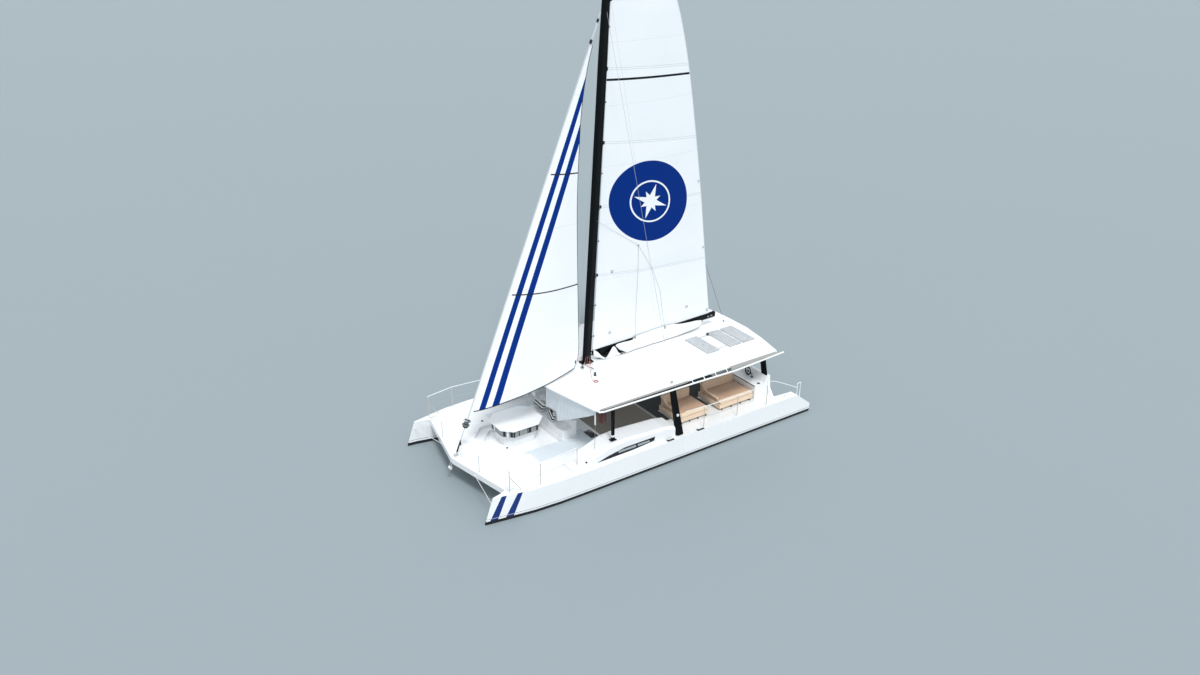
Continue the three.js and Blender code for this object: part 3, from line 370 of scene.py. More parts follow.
def makeGelcoat(name, decks=False, hull=False):
    look = gelcoatSettings
    material, tree, shader = startMaterial(name, look["white"], 0.25, IOR=1.5, Coat_Weight=0.15)
    place, (x, y, z) = objectPlace(tree)
    facing = addNode(tree, "SeparateXYZ", {0: addNode(tree, "NewGeometry").outputs["Normal"]})
    colour, height = None, None
    if decks:  # moulded non-skid: 6 mm diamonds, drawn as 30 mm ones to show
        upward = addNode(tree, "Math", {0: facing.outputs[2], 1: 0.9}, operation="GREATER_THAN")
        turned = addNode(tree, "Mapping", {"Vector": place, "Rotation": (0, 0, math.radians(45))})
        diamonds = addNode(tree, "TexChecker", {"Vector": turned, "Scale": 1000 / look["diamond"]})
        pads = addNode(tree, "TexBrick", {
            "Vector": place, "Scale": 1.0, "Mortar Size": look["padGap"], "Mortar Smooth": 0.2,
            "Brick Width": look["padLong"], "Row Height": look["padWide"]}, offset=0.0)
        inPad = addNode(tree, "Math", {0: 1.0, 1: pads.outputs["Fac"]}, operation="SUBTRACT")
        skid = addNode(tree, "Math", {0: upward, 1: inPad}, operation="MULTIPLY")
        height = addNode(tree, "Math", {0: skid, 1: diamonds.outputs["Fac"]}, operation="MULTIPLY")
        colour = addNode(tree, "Mix", {0: skid, 6: look["white"], 7: look["skid"]}, data_type="RGBA")
        # Painted soft shade: a blue-grey patch with 60 mm ribs on each side of the lounge
        side = addNode(tree, "Math", {0: y}, operation="ABSOLUTE")
        across = lineMask(tree, side, [look["walkY"][0]], look["walkY"][1])
        along = lineMask(tree, x, [look["walkX"][0]], look["walkX"][1])
        walk = addNode(tree, "Math", {0: across, 1: along}, operation="MULTIPLY")
        walk = addNode(tree, "Math", {0: walk, 1: upward}, operation="MULTIPLY")
        rib = addNode(tree, "Math", {0: side, 1: look["ribPitch"]}, operation="PINGPONG")
        rib = addNode(tree, "Math", {0: rib, 1: look["ribGap"]}, operation="GREATER_THAN")
        shade = addNode(tree, "Mix", {0: rib, 6: look["rib"], 7: look["walk"]}, data_type="RGBA")
        colour = addNode(tree, "Mix", {0: walk, 6: colour, 7: shade}, data_type="RGBA")
    if hull:
        steep = addNode(tree, "Math", {0: facing.outputs[2], 1: 0.7}, operation="LESS_THAN")
        # Two slanting bands near the bow on the outer side, each narrower higher up
        outboard = addNode(tree, "Math", {0: y}, operation="ABSOLUTE")
        outboard = addNode(tree, "Math", {0: outboard, 1: look["outboardY"]}, operation="GREATER_THAN")
        lean = addNode(tree, "Math", {0: z, 2: x, 1: look["bandLean"]}, operation="MULTIPLY_ADD")
        narrow = addNode(tree, "Math", {0: z, 1: look["bandTaper"]}, operation="MULTIPLY")
        bands = []
        for centre in look["bandCentres"]:
            away = addNode(tree, "Math", {0: lean, 1: centre}, operation="SUBTRACT")
            away = addNode(tree, "Math", {0: away}, operation="ABSOLUTE")
            away = addNode(tree, "Math", {0: away, 1: narrow}, operation="ADD")
            bands.append(addNode(tree, "Math", {0: away, 1: look["bandHalf"]}, operation="LESS_THAN"))
        stripes = addNode(tree, "Math", {0: anyOf(tree, bands), 1: outboard}, operation="MULTIPLY")
        stripes = addNode(tree, "Math", {0: stripes, 1: steep}, operation="MULTIPLY")
        colour = addNode(tree, "Mix", {0: stripes, 6: colour, 7: look["stripes"]}, data_type="RGBA")
        # Painted shadow: a thin grey line on the steep faces at 0.21 m stands for the shade under the chine
        lowLine = lineMask(tree, z, [look["lineZ"]], look["lineHalf"])
        lowLine = addNode(tree, "Math", {0: lowLine, 1: steep}, operation="MULTIPLY")
        colour = addNode(tree, "Mix", {0: lowLine, 6: colour, 7: look["lowLine"]}, data_type="RGBA")
        wet = addNode(tree, "Math", {0: z, 1: look["wetZ"]}, operation="LESS_THAN")
        colour = addNode(tree, "Mix", {0: wet, 6: colour, 7: look["antifouling"]}, data_type="RGBA")
    finishSurface(tree, shader, place, colour, 1400, 0.025, (0.2, 0.3), 350, 0.0015, height, 0.0005)
    return material


looks["gelcoat"] = makeGelcoat("polished_gelcoat")
looks["deck"] = makeGelcoat("gelcoat_with_moulded_non_skid", decks=True)
looks["hull"] = makeGelcoat("hull_gelcoat_over_antifouling", decks=True, hull=True)


def makePlain(name, hexColour, roughness, metallic=0.0, patch=(500, 0.08), bump=(12, 0.0004), **sockets):
    material, tree, shader = startMaterial(name, hexColour, sum(roughness) / 2, metallic, **sockets)
    finishSurface(tree, shader, objectPlace(tree)[0], None, *patch, roughness, *bump)
    return material


# Antifouling paint, rolled on: dead matt, with the roller's stipple
looks["antifouling"] = makePlain("rolled_antifouling_paint", "#14171A", (0.75, 0.9), bump=(25, 0.0008))
# Stainless steel, polished tube: bright and nearly mirror-like
looks["stainless"] = makePlain("polished_stainless_tube", "#DADDDF", (0.12, 0.24), 1.0, bump=(40, 0.0001))
# Aluminium, anodised extrusion: satin grey metal
looks["aluminium"] = makePlain("anodised_aluminium", "#9EA3A6", (0.32, 0.42), 1.0)
# White enamelled tube, as on the rails of the bows: bright and smooth
looks["whiteTube"] = makePlain("white_powder_coated_tube", "#F1F3F4", (0.3, 0.4))
# Bronze, cast and fettled: warm metal with a brown bloom
looks["bronze"] = makePlain("cast_bronze", "#9A7B4A", (0.3, 0.5), 1.0, patch=(60, 0.35))
# Cast iron under engine enamel: thick grey paint
looks["engine"] = makePlain("enamelled_engine_casting", "#5D6468", (0.4, 0.6), patch=(120, 0.2))
# Glass-filled nylon, moulded: matt black with a fine grain
looks["nylon"] = makePlain("moulded_black_nylon", "#15181A", (0.45, 0.6))
# Butyl rubber: soft black, quite matt
looks["rubber"] = makePlain("black_rubber", "#101112", (0.65, 0.8))
# Acetal, moulded and pale
looks["palePlastic"] = makePlain("moulded_pale_plastic", "#E9ECED", (0.35, 0.5))


# Carbon under satin lacquer: black, with a 2/2 twill of 8 mm tows drawn 40 mm wide to show
def makeCarbon():
    material, tree, shader = startMaterial("lacquered_carbon", "#05090C", 0.45, Specular_IOR_Level=0.12,
                                           Coat_Weight=0.02)
    place = objectPlace(tree)[0]
    turned = addNode(tree, "Mapping", {"Vector": place, "Rotation": (0, math.radians(45), 0)})
    tows = addNode(tree, "TexWave", {"Vector": turned, "Scale": waveScale(40), "Distortion": 0.3},
                   bands_direction="X")
    colour = addNode(tree, "Mix", {0: tows.outputs["Fac"], 6: "#04080B", 7: "#070D11"}, data_type="RGBA")
    finishSurface(tree, shader, place, colour, 700, 0.15, (0.42, 0.55), 30, 0.0003, tows.outputs["Fac"], 0.0003)
    return material


looks["carbon"] = makeCarbon()
print("materials: mouldings and metals done")

# Camera and light

cameraSettings = {"place": (21.66, 31.32, 21.93), "heading": -123.942, "dip": 24.965, "roll": -0.16,
                  "lens": 30.395}


def makeCamera(settings):
    data = bpy.data.cameras.new("photoCamera")
    data.sensor_width = 36.0
    data.lens = settings["lens"]
    data.clip_end = 3000.0
    data.dof.use_dof = False
    camera = bpy.data.objects.new("photoCamera", data)
    bpy.context.scene.collection.objects.link(camera)
    heading, dip = math.radians(settings["heading"]), math.radians(settings["dip"])
    look = Vector((math.cos(heading) * math.cos(dip), math.sin(heading) * math.cos(dip), -math.sin(dip)))
    camera.location = settings["place"]
    camera.rotation_mode = "QUATERNION"
    roll = Quaternion((0, 0, 1), math.radians(settings["roll"]))
    camera.rotation_quaternion = look.to_track_quat("-Z", "Y") @ roll
    bpy.context.scene.camera = camera


lightSettings = {"sunWay": (-0.25, -0.88, -1.4), "sun": 2.0, "sunAngle": 14.0, "sky": "#E3E9EE",
                 "skyStrength": 1.05}


def makeLights(settings):
    data = bpy.data.lights.new("sun", "SUN")
    data.energy = settings["sun"]
    data.angle = math.radians(settings["sunAngle"])
    sun = bpy.data.objects.new("sun", data)
    sun.rotation_mode = "QUATERNION"
    sun.rotation_quaternion = Vector(settings["sunWay"]).to_track_quat("-Z", "Y")
    bpy.context.scene.collection.objects.link(sun)
    world = bpy.data.worlds.new("sky")
    bpy.context.scene.world = world
    world.use_nodes = True
    sky = world.node_tree.nodes["Background"]
    sky.inputs[0].default_value = linearColour(settings["sky"])
    sky.inputs[1].default_value = settings["skyStrength"]


floorSettings = {"half": 900.0, "colour": "#929DA2", "patch": (20000, 0.02), "bump": (4000, 0.002)}


def makeFloor(settings):
    bm = bmesh.new()
    bmesh.ops.create_grid(bm, x_segments=1, y_segments=1, size=settings["half"])
    material, tree, shader = startMaterial("studio_floor", settings["colour"], 0.7)
    finishSurface(tree, shader, objectPlace(tree)[0], None, *settings["patch"], (0.65, 0.75), *settings["bump"])
    finishPiece("studio_floor", bm, None, material)


makeCamera(cameraSettings)
makeLights(lightSettings)
makeFloor(floorSettings)
bpy.context.scene.view_settings.view_transform = "Standard"
print("camera, light and floor done")

# Sails: thin laminate through the same rows as the frame, in finer steps

mastLine = {"footX": 1.27, "footZ": 3.41, "rake": 0.0687, "chord": 0.4, "headZ": 20.95, "taperFrom": 15.5,
            "headScale": 0.62}
boomLine = {"middleZ": 3.76, "rise": 0.17, "front": 0.62, "long": 6.15}
mainCut = {"luffX": 0.928, "luffZ": 3.92, "rake": 0.0625, "footZ": 3.8756, "headZ": 20.4, "thick": 0.008,
           "draft": 0.04, "flatZ": 3.96, "fullOver": 3.33, "puff": 0.012, "ripple": 0.004,
           "leech": [(3.96, -5.19), (7.29, -4.77), (9.63, -4.47), (12.31, -4.06), (15.16, -3.55), (17.37, -2.94),
                     (19.3, -2.05), (20.4, -1.25)],
           "battens": [(17.6, -0.03), (15.16, -0.052), (12.43, -0.083), (9.93, -0.06), (7.13, -0.08)],
           "discMiddle": (-1.735, 9.81), "discHalf": (1.986, 1.619), "discTurn": 21.6}


def mastX(z):
    return mastLine["footX"] - (z - mastLine["footZ"]) * mastLine["rake"]


def mastScale(z):
    share = clamped((z - mastLine["taperFrom"]) / (mastLine["headZ"] - mastLine["taperFrom"]))
    return mixed(1, mastLine["headScale"], share)


def mastFace(z):  # the mast's aft face
    return mastX(z) - mastLine["chord"] / 2 * mastScale(z)


def mainLuff(z):
    return mainCut["luffX"] - (z - mainCut["luffZ"]) * mainCut["rake"]


def boomRise(x):  # the boom climbs towards its end
    return boomLine["rise"] * clamped((boomLine["front"] - x) / boomLine["long"])


def mainBelly(u, z, chord):  # depth of the sail's curve, nil along the boom
    draft = mainCut["draft"] * clamped((z - mainCut["flatZ"]) / mainCut["fullOver"])
    return draft * chord * math.sin(math.pi * min(1, u ** 0.8))


def mainPlace(u, v):
    z = mixed(mainCut["footZ"], mainCut["headZ"], v)
    front = mainLuff(z)
    chord = front - alongKnots(mainCut["leech"], z)
    y = mainBelly(u, z, chord)
    # Cloth fills between battens
    pull = sum(math.exp(-((z - (at + rise * u * chord)) / 0.25) ** 2) for at, rise in mainCut["battens"])
    y += mainCut["puff"] * (1 - pull) * math.sin(math.pi * u) * clamped((z - 4.2) / 1.5)
    y += mainCut["ripple"] * noise.noise(Vector((u * chord * 1.3, 0, z * 0.9)))
    x = front - chord * u
    return Vector((x, y, z + boomRise(x) * (1 - v) ** 8))


def mainSize(u, v):
    z = mixed(mainCut["footZ"], mainCut["headZ"], v)
    return ((mainLuff(z) - alongKnots(mainCut["leech"], z)) * u, z)


# Polyester laminate: white film over a fine scrim, faintly blue, stitched along its panels
sailSettings = {"white": "#F1F4F7", "seamHalf": 0.008,
                "mainPanel": 1.15, "mainSeam": "#E4E8EB", "luffSlope": 0.235, "luffAt": 4.13, "luffHalf": 0.012,
                "pocket": "#CDD3D7", "pocketHalf": 0.035, "mainTape": "#1B2226", "tapeSlope": 0.04,
                "tapeAt": 14.76, "tapeHalf": 0.042,
                "disc": "#012D7C", "motif": "#F2F5F7", "ringAt": 0.5, "ringHalf": 0.02, "starRoot": 0.1,
                "starArms": [(4, 0.44, 0.0), (4, 0.28, math.pi / 4)],
                "jibPanel": 1.2, "jibSeam": "#DFE4E8", "jibBand": "#032F80",
                "jibBands": [(0.318, 0.0925), (0.725, 0.115)], "jibTape": "#20282C", "jibTapeHalf": 0.024,
                "jibTapes": [(11.6, -0.06, 0.09), (7.23, -0.03, 0.1)]}


def startSailcloth(name):
    material, tree, shader = startMaterial(name, "#F0F3F6", 0.5, IOR=1.45)
    place = objectPlace(tree)[0]
    away, z = addNode(tree, "SeparateXYZ", {0: addNode(tree, "UVMap", uv_map="cloth")}).outputs[:2]
    return material, tree, shader, place, away, z


def finishSailcloth(tree, shader, place, colour, seams):
    shader.inputs["Specular IOR Level"].default_value = 0.1
    finishSurface(tree, shader, place, colour, 1500, 0.03, (0.42, 0.56), 90, 0.004, seams, 0.0015)


def makeMainCloth():
    look = sailSettings
    material, tree, shader, place, away, z = startSailcloth("mainsail_laminate")
    # Horizontal panels 1.15 m apart, with a 16 mm seam
    panel = addNode(tree, "Math", {0: z, 1: look["mainPanel"]}, operation="PINGPONG")
    panelSeam = addNode(tree, "Math", {0: panel, 1: look["seamHalf"]}, operation="LESS_THAN")
    # A luff panel whose seam runs down and aft
    luffSeam = addNode(tree, "Math", {0: z, 2: away, 1: look["luffSlope"]}, operation="MULTIPLY_ADD")
    luffSeam = lineMask(tree, luffSeam, [look["luffAt"]], look["luffHalf"])
    seams = addNode(tree, "Math", {0: panelSeam, 1: luffSeam}, operation="MAXIMUM")
    colour = addNode(tree, "Mix", {0: seams, 6: look["white"], 7: look["mainSeam"]}, data_type="RGBA")
    # Batten pockets: grey lines along both rims, their stitching darkened with painted shade along each pocket
    pockets = []
    for at, rise in mainCut["battens"]:
        tilt = addNode(tree, "Math", {0: away, 2: z, 1: -rise}, operation="MULTIPLY_ADD")
        rims = [at - look["pocketHalf"], at + look["pocketHalf"]]
        pockets.append(lineMask(tree, tilt, rims, look["seamHalf"]))
    pockets = anyOf(tree, pockets)
    colour = addNode(tree, "Mix", {0: pockets, 6: colour, 7: look["pocket"]}, data_type="RGBA")
    tape = addNode(tree, "Math", {0: away, 2: z, 1: look["tapeSlope"]}, operation="MULTIPLY_ADD")
    tape = lineMask(tree, tape, [look["tapeAt"]], look["tapeHalf"])
    colour = addNode(tree, "Mix", {0: tape, 6: colour, 7: look["mainTape"]}, data_type="RGBA")
    # Blue disc with a compass star of eight points inside a ring
    spin = math.radians(mainCut["discTurn"])
    middleX, middleZ = mainCut["discMiddle"]
    ways = ((math.cos(spin), math.sin(spin)), (-math.sin(spin), math.cos(spin)))
    axes = [addNode(tree, "VectorMath", {0: place, 1: (a, 0, b)}, operation="DOT_PRODUCT").outputs["Value"]
            for a, b in ways]
    unit = []
    for axis, (a, b), half in zip(axes, ways, mainCut["discHalf"]):
        shifted = addNode(tree, "Math", {0: axis, 1: a * middleX + b * middleZ}, operation="SUBTRACT")
        unit.append(addNode(tree, "Math", {0: shifted, 1: half}, operation="DIVIDE"))
    fromMiddle = addNode(tree, "CombineXYZ", {0: unit[0], 1: unit[1]})
    radius = addNode(tree, "VectorMath", {0: fromMiddle}, operation="LENGTH").outputs["Value"]
    disc = addNode(tree, "Math", {0: radius, 1: 1.0}, operation="LESS_THAN")
    colour = addNode(tree, "Mix", {0: disc, 6: colour, 7: look["disc"]}, data_type="RGBA")
    ring = lineMask(tree, radius, [look["ringAt"]], look["ringHalf"])
    angle = addNode(tree, "Math", {0: unit[1], 1: unit[0]}, operation="ARCTAN2")
    arms = []
    for points, reach, shift in look["starArms"]:  # a point narrows in a straight line to its tip
        turned = addNode(tree, "Math", {0: angle, 1: shift}, operation="ADD")
        fold = addNode(tree, "Math", {0: turned, 1: math.pi / points}, operation="PINGPONG")
        side = addNode(tree, "Math", {0: fold}, operation="SINE")
        side = addNode(tree, "Math", {0: side, 1: radius}, operation="MULTIPLY")
        length = addNode(tree, "Math", {0: fold}, operation="COSINE")
        length = addNode(tree, "Math", {0: length, 1: radius}, operation="MULTIPLY")
        edge = addNode(tree, "Math", {0: side, 2: length, 1: reach / look["starRoot"]}, operation="MULTIPLY_ADD")
        arms.append(addNode(tree, "Math", {0: edge, 1: reach}, operation="LESS_THAN"))
    motif = addNode(tree, "Math", {0: ring, 1: anyOf(tree, arms)}, operation="MAXIMUM")
    colour = addNode(tree, "Mix", {0: motif, 6: colour, 7: look["motif"]}, data_type="RGBA")
    relief = addNode(tree, "Math", {0: seams, 1: pockets}, operation="MAXIMUM")
    finishSailcloth(tree, shader, place, colour, relief)
    return material


looks["mainCloth"] = makeMainCloth()
bm, area = clothMesh(mainPlace, 44, 132, mainCut["thick"], mainSize)
mainsail = finishPiece("mainsail_cloth", bm, "boom_and_mainsail", [looks["mainCloth"]] * 2,
                       recalculate=False)
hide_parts("mainsail")

jibCut = {"stayFootX": 7.4, "stayFootZ": 1.03, "houndsZ": 17.18, "luffGap": 0.023, "tackZ": 2.77,
          "cornerX": 2.2, "cornerZ": 3.6, "headZ": 16.05, "thick": 0.006, "ripple": 0.004,
          "draft": [(3.5, 0.15), (4.02, 0.14), (6.0, 0.12), (10.0, 0.1), (13.0, 0.07), (14.57, 0.04), (16.05, 0.0)],
          "out": [(4.02, 0.45), (6.0, 0.42), (10.0, 0.3), (13.0, 0.16), (14.57, 0.06), (16.05, 0.0)],
          "leech": [(3.6, 2.2), (4.02, 1.96), (5.63, 1.91), (6.89, 1.89), (8.53, 1.86), (10.11, 1.81), (11.26, 1.73),
                    (12.37, 1.62), (13.46, 1.5), (14.52, 1.3), (15.39, 1.09), (16.05, 0.88)],
          "foot": [(2.2, 3.6), (2.56, 3.56), (3.08, 3.51), (3.61, 3.45), (4.14, 3.39), (4.64, 3.3), (5.14, 3.2),
                   (5.73, 3.04), (6.35, 2.85), (6.63, 2.77)]}
jibCut["stayHeadX"] = mastX(jibCut["houndsZ"]) + 0.2 * mastScale(jibCut["houndsZ"]) + jibCut["luffGap"]


def stayX(z):
    share = (z - jibCut["stayFootZ"]) / (jibCut["houndsZ"] - jibCut["stayFootZ"])
    return mixed(jibCut["stayFootX"], jibCut["stayHeadX"], share)


def jibLuff(z):
    return stayX(z) - jibCut["luffGap"]


def jibDepth(x, z):  # how far the sail stands to port
    front, back = jibLuff(z), alongKnots(jibCut["leech"], max(z, 3.9))
    t = clamped((front - x) / (front - back), 0, 1.02)
    belly = alongKnots(jibCut["draft"], z) * (front - back) * math.sin(math.pi * min(1, t ** 0.8))
    return belly + alongKnots(jibCut["out"], z) * t


def jibPlace(u, v):
    luffZ = mixed(jibCut["tackZ"], jibCut["headZ"], v)
    leechZ = mixed(jibCut["cornerZ"], jibCut["headZ"], v)
    x = mixed(jibLuff(luffZ), alongKnots(jibCut["leech"], leechZ), u)
    footX = mixed(jibLuff(jibCut["tackZ"]), jibCut["cornerX"], u)
    drop = alongKnots(jibCut["foot"], footX) - mixed(jibCut["tackZ"], jibCut["cornerZ"], u)
    z = mixed(luffZ, leechZ, u) + drop * (1 - v) ** 5
    return Vector((x, jibDepth(x, z) + jibCut["ripple"] * noise.noise(Vector((x * 1.4, 3, z * 1.1))), z))


def jibSize(u, v):
    place = jibPlace(u, v)
    return (jibLuff(place.z) - place.x, place.z)


def makeJibCloth():
    look = sailSettings
    material, tree, shader, place, away, z = startSailcloth("headsail_laminate")
    panel = addNode(tree, "Math", {0: z, 1: look["jibPanel"]}, operation="PINGPONG")
    seams = addNode(tree, "Math", {0: panel, 1: look["seamHalf"]}, operation="LESS_THAN")
    colour = addNode(tree, "Mix", {0: seams, 6: look["white"], 7: look["jibSeam"]}, data_type="RGBA")
    for at, half in look["jibBands"]:  # two blue bands run up the luff
        band = lineMask(tree, away, [at], half)
        colour = addNode(tree, "Mix", {0: band, 6: colour, 7: look["jibBand"]}, data_type="RGBA")
    for at, slope, begin in look["jibTapes"]:  # draft stripes, 48 mm tape
        tilt = addNode(tree, "Math", {0: away, 2: z, 1: -slope}, operation="MULTIPLY_ADD")
        tape = lineMask(tree, tilt, [at], look["jibTapeHalf"])
        behind = addNode(tree, "Math", {0: away, 1: begin}, operation="GREATER_THAN")
        tape = addNode(tree, "Math", {0: tape, 1: behind}, operation="MULTIPLY")
        colour = addNode(tree, "Mix", {0: tape, 6: colour, 7: look["jibTape"]}, data_type="RGBA")
    finishSailcloth(tree, shader, place, colour, seams)
    return material


looks["jibCloth"] = makeJibCloth()
bm, area = clothMesh(jibPlace, 40, 110, jibCut["thick"], jibSize)
jib = finishPiece("jib_cloth", bm, "hull_and_deck", [looks["jibCloth"]] * 2, recalculate=False)
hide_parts("jib")

# Bound edges of the headsail, along its foot and its leech
edges = bmesh.new()
addTube(edges, [jibPlace(0.02 + 0.98 * i / 40, 0.0) for i in range(41)], 0.022)
addTube(edges, [jibPlace(1.0, i / 60) for i in range(61)], 0.014)
jibEdge = finishPiece("jib_bound_edge", edges, "hull_and_deck", looks["rubber"])
print("sails done")

# More materials for the deckhouse and its soft goods

stripeSettings = {"pair": 0.098, "dark": "#0E1012"}


# Woven cloth, rope and carpet: threads of about 1 mm, drawn 6 to 30 mm apart to show
def makeWoven(name, hexColour, threadShade, roughness=(0.7, 0.85), thread=12, depth=0.0008, sheen=0.2,
              stripes=None):
    material, tree, shader = startMaterial(name, hexColour, 0.8, Sheen_Weight=sheen)
    place = objectPlace(tree)[0]
    warp, weft = (addNode(tree, "TexWave", {"Vector": place, "Scale": waveScale(thread)}, bands_direction=way)
                  for way in ("X", "Y"))
    weave = addNode(tree, "Math", {0: warp.outputs["Fac"], 1: weft.outputs["Fac"]}, operation="MULTIPLY")
    colour = addNode(tree, "Mix", {0: weave, 6: hexColour, 7: threadShade}, data_type="RGBA")
    if stripes:  # black stripes across the direction
        along = addNode(tree, "VectorMath", {0: place, 1: stripes}, operation="DOT_PRODUCT").outputs["Value"]
        along = addNode(tree, "Math", {0: along, 1: stripeSettings["pair"] / 2}, operation="PINGPONG")
        dark = addNode(tree, "Math", {0: along, 1: stripeSettings["pair"] / 4}, operation="LESS_THAN")
        colour = addNode(tree, "Mix", {0: dark, 6: colour, 7: stripeSettings["dark"]}, data_type="RGBA")
    finishSurface(tree, shader, place, colour, 350, 0.1, roughness, 40, 0.002, weave, depth)
    return material


looks["rollCanvas"] = makeWoven("grey_awning_canvas", "#A5A5A1", "#8F8F8B")
looks["weatherCloth"] = makeWoven("pale_coated_weather_cloth", "#D8DFE4", "#CBD3D9", (0.35, 0.5), sheen=0.05)
looks["bagCanvas"] = makeWoven("white_bag_canvas", "#F1F3F4", "#E4E7E9")
looks["bagLining"] = makeWoven("black_bag_lining", "#14181B", "#0E1113")
looks["seatCloth"] = makeWoven("tan_woven_upholstery", "#C8A58A", "#BA967A", thread=10)
looks["backCloth"] = makeWoven("sand_woven_upholstery", "#DDC0A4", "#CFB196", thread=10)
looks["boltCloth"] = makeWoven("cream_woven_upholstery", "#EBD2B8", "#DFC4A9", thread=10)
looks["strap"] = makeWoven("black_polyester_webbing", "#1B1D1F", "#101214", thread=6)
looks["whiteRope"] = makeWoven("white_braided_polyester", "#E9EBEC", "#CFD4D7", thread=8)
looks["redRope"] = makeWoven("faded_red_braided_polyester", "#C07F77", "#9C5C55", thread=8)
# The two deck mats' dark colours are partly painted shade, for the shade on the floor under the roof
looks["darkMat"] = makeWoven("dark_ribbed_deck_mat", "#23282A", "#1A1E20", thread=30, depth=0.002)
looks["oliveMat"] = makeWoven("olive_grey_deck_carpet", "#8A8176", "#7A7167", thread=20, depth=0.002)
looks["levelStripes"] = makeWoven("black_and_white_level_stripe", "#F1F2F2", "#E2E4E4", thread=8,
                                  stripes=(0, 0, 1))
looks["slantStripes"] = makeWoven("black_and_white_slant_stripe", "#F1F2F2", "#E2E4E4", thread=8,
                                  stripes=(0, 0.35, 0.937))
looks["redCloth"] = makeWoven("dark_red_brown_cloth", "#5D3330", "#4A2826", thread=14)
looks["dullLine"] = makeWoven("grey_green_shock_cord", "#8D968C", "#79827A", thread=6)


# Tinted acrylic: near black or paler, glossy
looks["glass"] = makePlain("smoked_acrylic", "#14181B", (0.05, 0.1), patch=(800, 0.1), bump=(600, 0.001),
                           IOR=1.49, Coat_Weight=0.2)
looks["hatchPane"] = makePlain("smoked_hatch_pane", "#3B3B42", (0.12, 0.2), patch=(300, 0.2))
looks["brightPane"] = makePlain("pale_tinted_pane", "#A9B1B5", (0.08, 0.16), patch=(700, 0.15), Coat_Weight=0.6)


# Solar laminate: pale film over 156 mm cells with darker joints and bus bars
def makeSolar():
    material, tree, shader = startMaterial("flexible_solar_laminate", "#A9AEB1", 0.35, Coat_Weight=0.4)
    place, (x, y, z) = objectPlace(tree)
    cells = addNode(tree, "TexBrick", {
        "Vector": place, "Scale": 1.0, "Mortar Size": 0.006, "Brick Width": 0.16, "Row Height": 0.16,
        "Color1": "#B3B8BB", "Color2": "#C1C5C7", "Mortar": "#8F9599"}, offset=0.0)
    bars = addNode(tree, "Math", {0: y, 1: 0.026}, operation="PINGPONG")
    bars = addNode(tree, "Math", {0: bars, 1: 0.0018}, operation="LESS_THAN")
    colour = addNode(tree, "Mix", {0: bars, 6: cells.outputs["Color"], 7: "#C9CDD0"}, data_type="RGBA")
    joints = cells.outputs["Fac"]
    finishSurface(tree, shader, place, colour, 600, 0.08, (0.25, 0.4), 200, 0.0004, joints, 0.0006)
    return material


looks["solar"] = makeSolar()


# Round resin wicker: 6 mm cane over 60 mm uprights, drawn as 24 mm canes to show, with a white rim
def makeWicker():
    material, tree, shader = startMaterial("woven_resin_wicker", "#6F7476", 0.6)
    place, (x, y, z) = objectPlace(tree)
    canes = addNode(tree, "TexWave", {"Vector": place, "Scale": waveScale(24), "Distortion": 1.0,
                                      "Detail Scale": 3.0}, bands_direction="Z")
    upright = addNode(tree, "Mapping", {"Vector": place, "Rotation": (math.radians(90), 0, 0)})
    weave = addNode(tree, "TexBrick", {
        "Vector": upright, "Scale": 1.0, "Mortar Size": 0.006, "Brick Width": 0.08, "Row Height": 0.024,
        "Color1": "#C6C9C9", "Color2": "#ACB0B0", "Mortar": "#6F7475"}, offset=0.5)
    band = addNode(tree, "Math", {0: z, 1: 1.335}, operation="GREATER_THAN")
    colour = addNode(tree, "Mix", {0: band, 6: "#EEF1F2", 7: weave.outputs["Color"]}, data_type="RGBA")
    height = addNode(tree, "Math", {0: band, 1: canes.outputs["Fac"]}, operation="MULTIPLY")
    finishSurface(tree, shader, place, colour, 500, 0.1, (0.5, 0.7), 60, 0.0005, height, 0.004)
    return material


looks["wicker"] = makeWicker()


# The furling stay: pale sleeve above, dull line wound on the drum
def makeStay():
    material, tree, shader = startMaterial("furling_section_and_drum", "#C9CED1", 0.4)
    place, (x, y, z) = objectPlace(tree)
    turns = addNode(tree, "TexWave", {"Vector": place, "Scale": waveScale(20)}, bands_direction="Z")
    drum = lineMask(tree, z, [2.345], 0.125)
    foot = addNode(tree, "Math", {0: z, 1: 1.16}, operation="LESS_THAN")
    colour = addNode(tree, "Mix", {0: drum, 6: "#CDD2D5", 7: "#6E7579"}, data_type="RGBA")
    colour = addNode(tree, "Mix", {0: foot, 6: colour, 7: "#B9BEC1"}, data_type="RGBA")
    relief = addNode(tree, "Math", {0: drum, 1: turns.outputs["Fac"]}, operation="MULTIPLY")
    finishSurface(tree, shader, place, colour, 300, 0.1, (0.3, 0.45), 60, 0.0003, relief, 0.003)
    return material


looks["stay"] = makeStay()


# Guard rail: stainless stanchions under a white sheathed top tube
def makeSheathed():
    material, tree, shader = startMaterial("stainless_with_white_sheath", "#B9BCBC", 0.3)
    place, (x, y, z) = objectPlace(tree)
    sheath = addNode(tree, "Math", {0: z, 1: 1.965}, operation="GREATER_THAN")
    colour = addNode(tree, "Mix", {0: sheath, 6: "#C3BFB7", 7: "#F1F3F4"}, data_type="RGBA")
    finishSurface(tree, shader, place, colour, 300, 0.08, (0.25, 0.4), 40, 0.0001, sheath, 0.001)
    return material


looks["sheathedTube"] = makeSheathed()

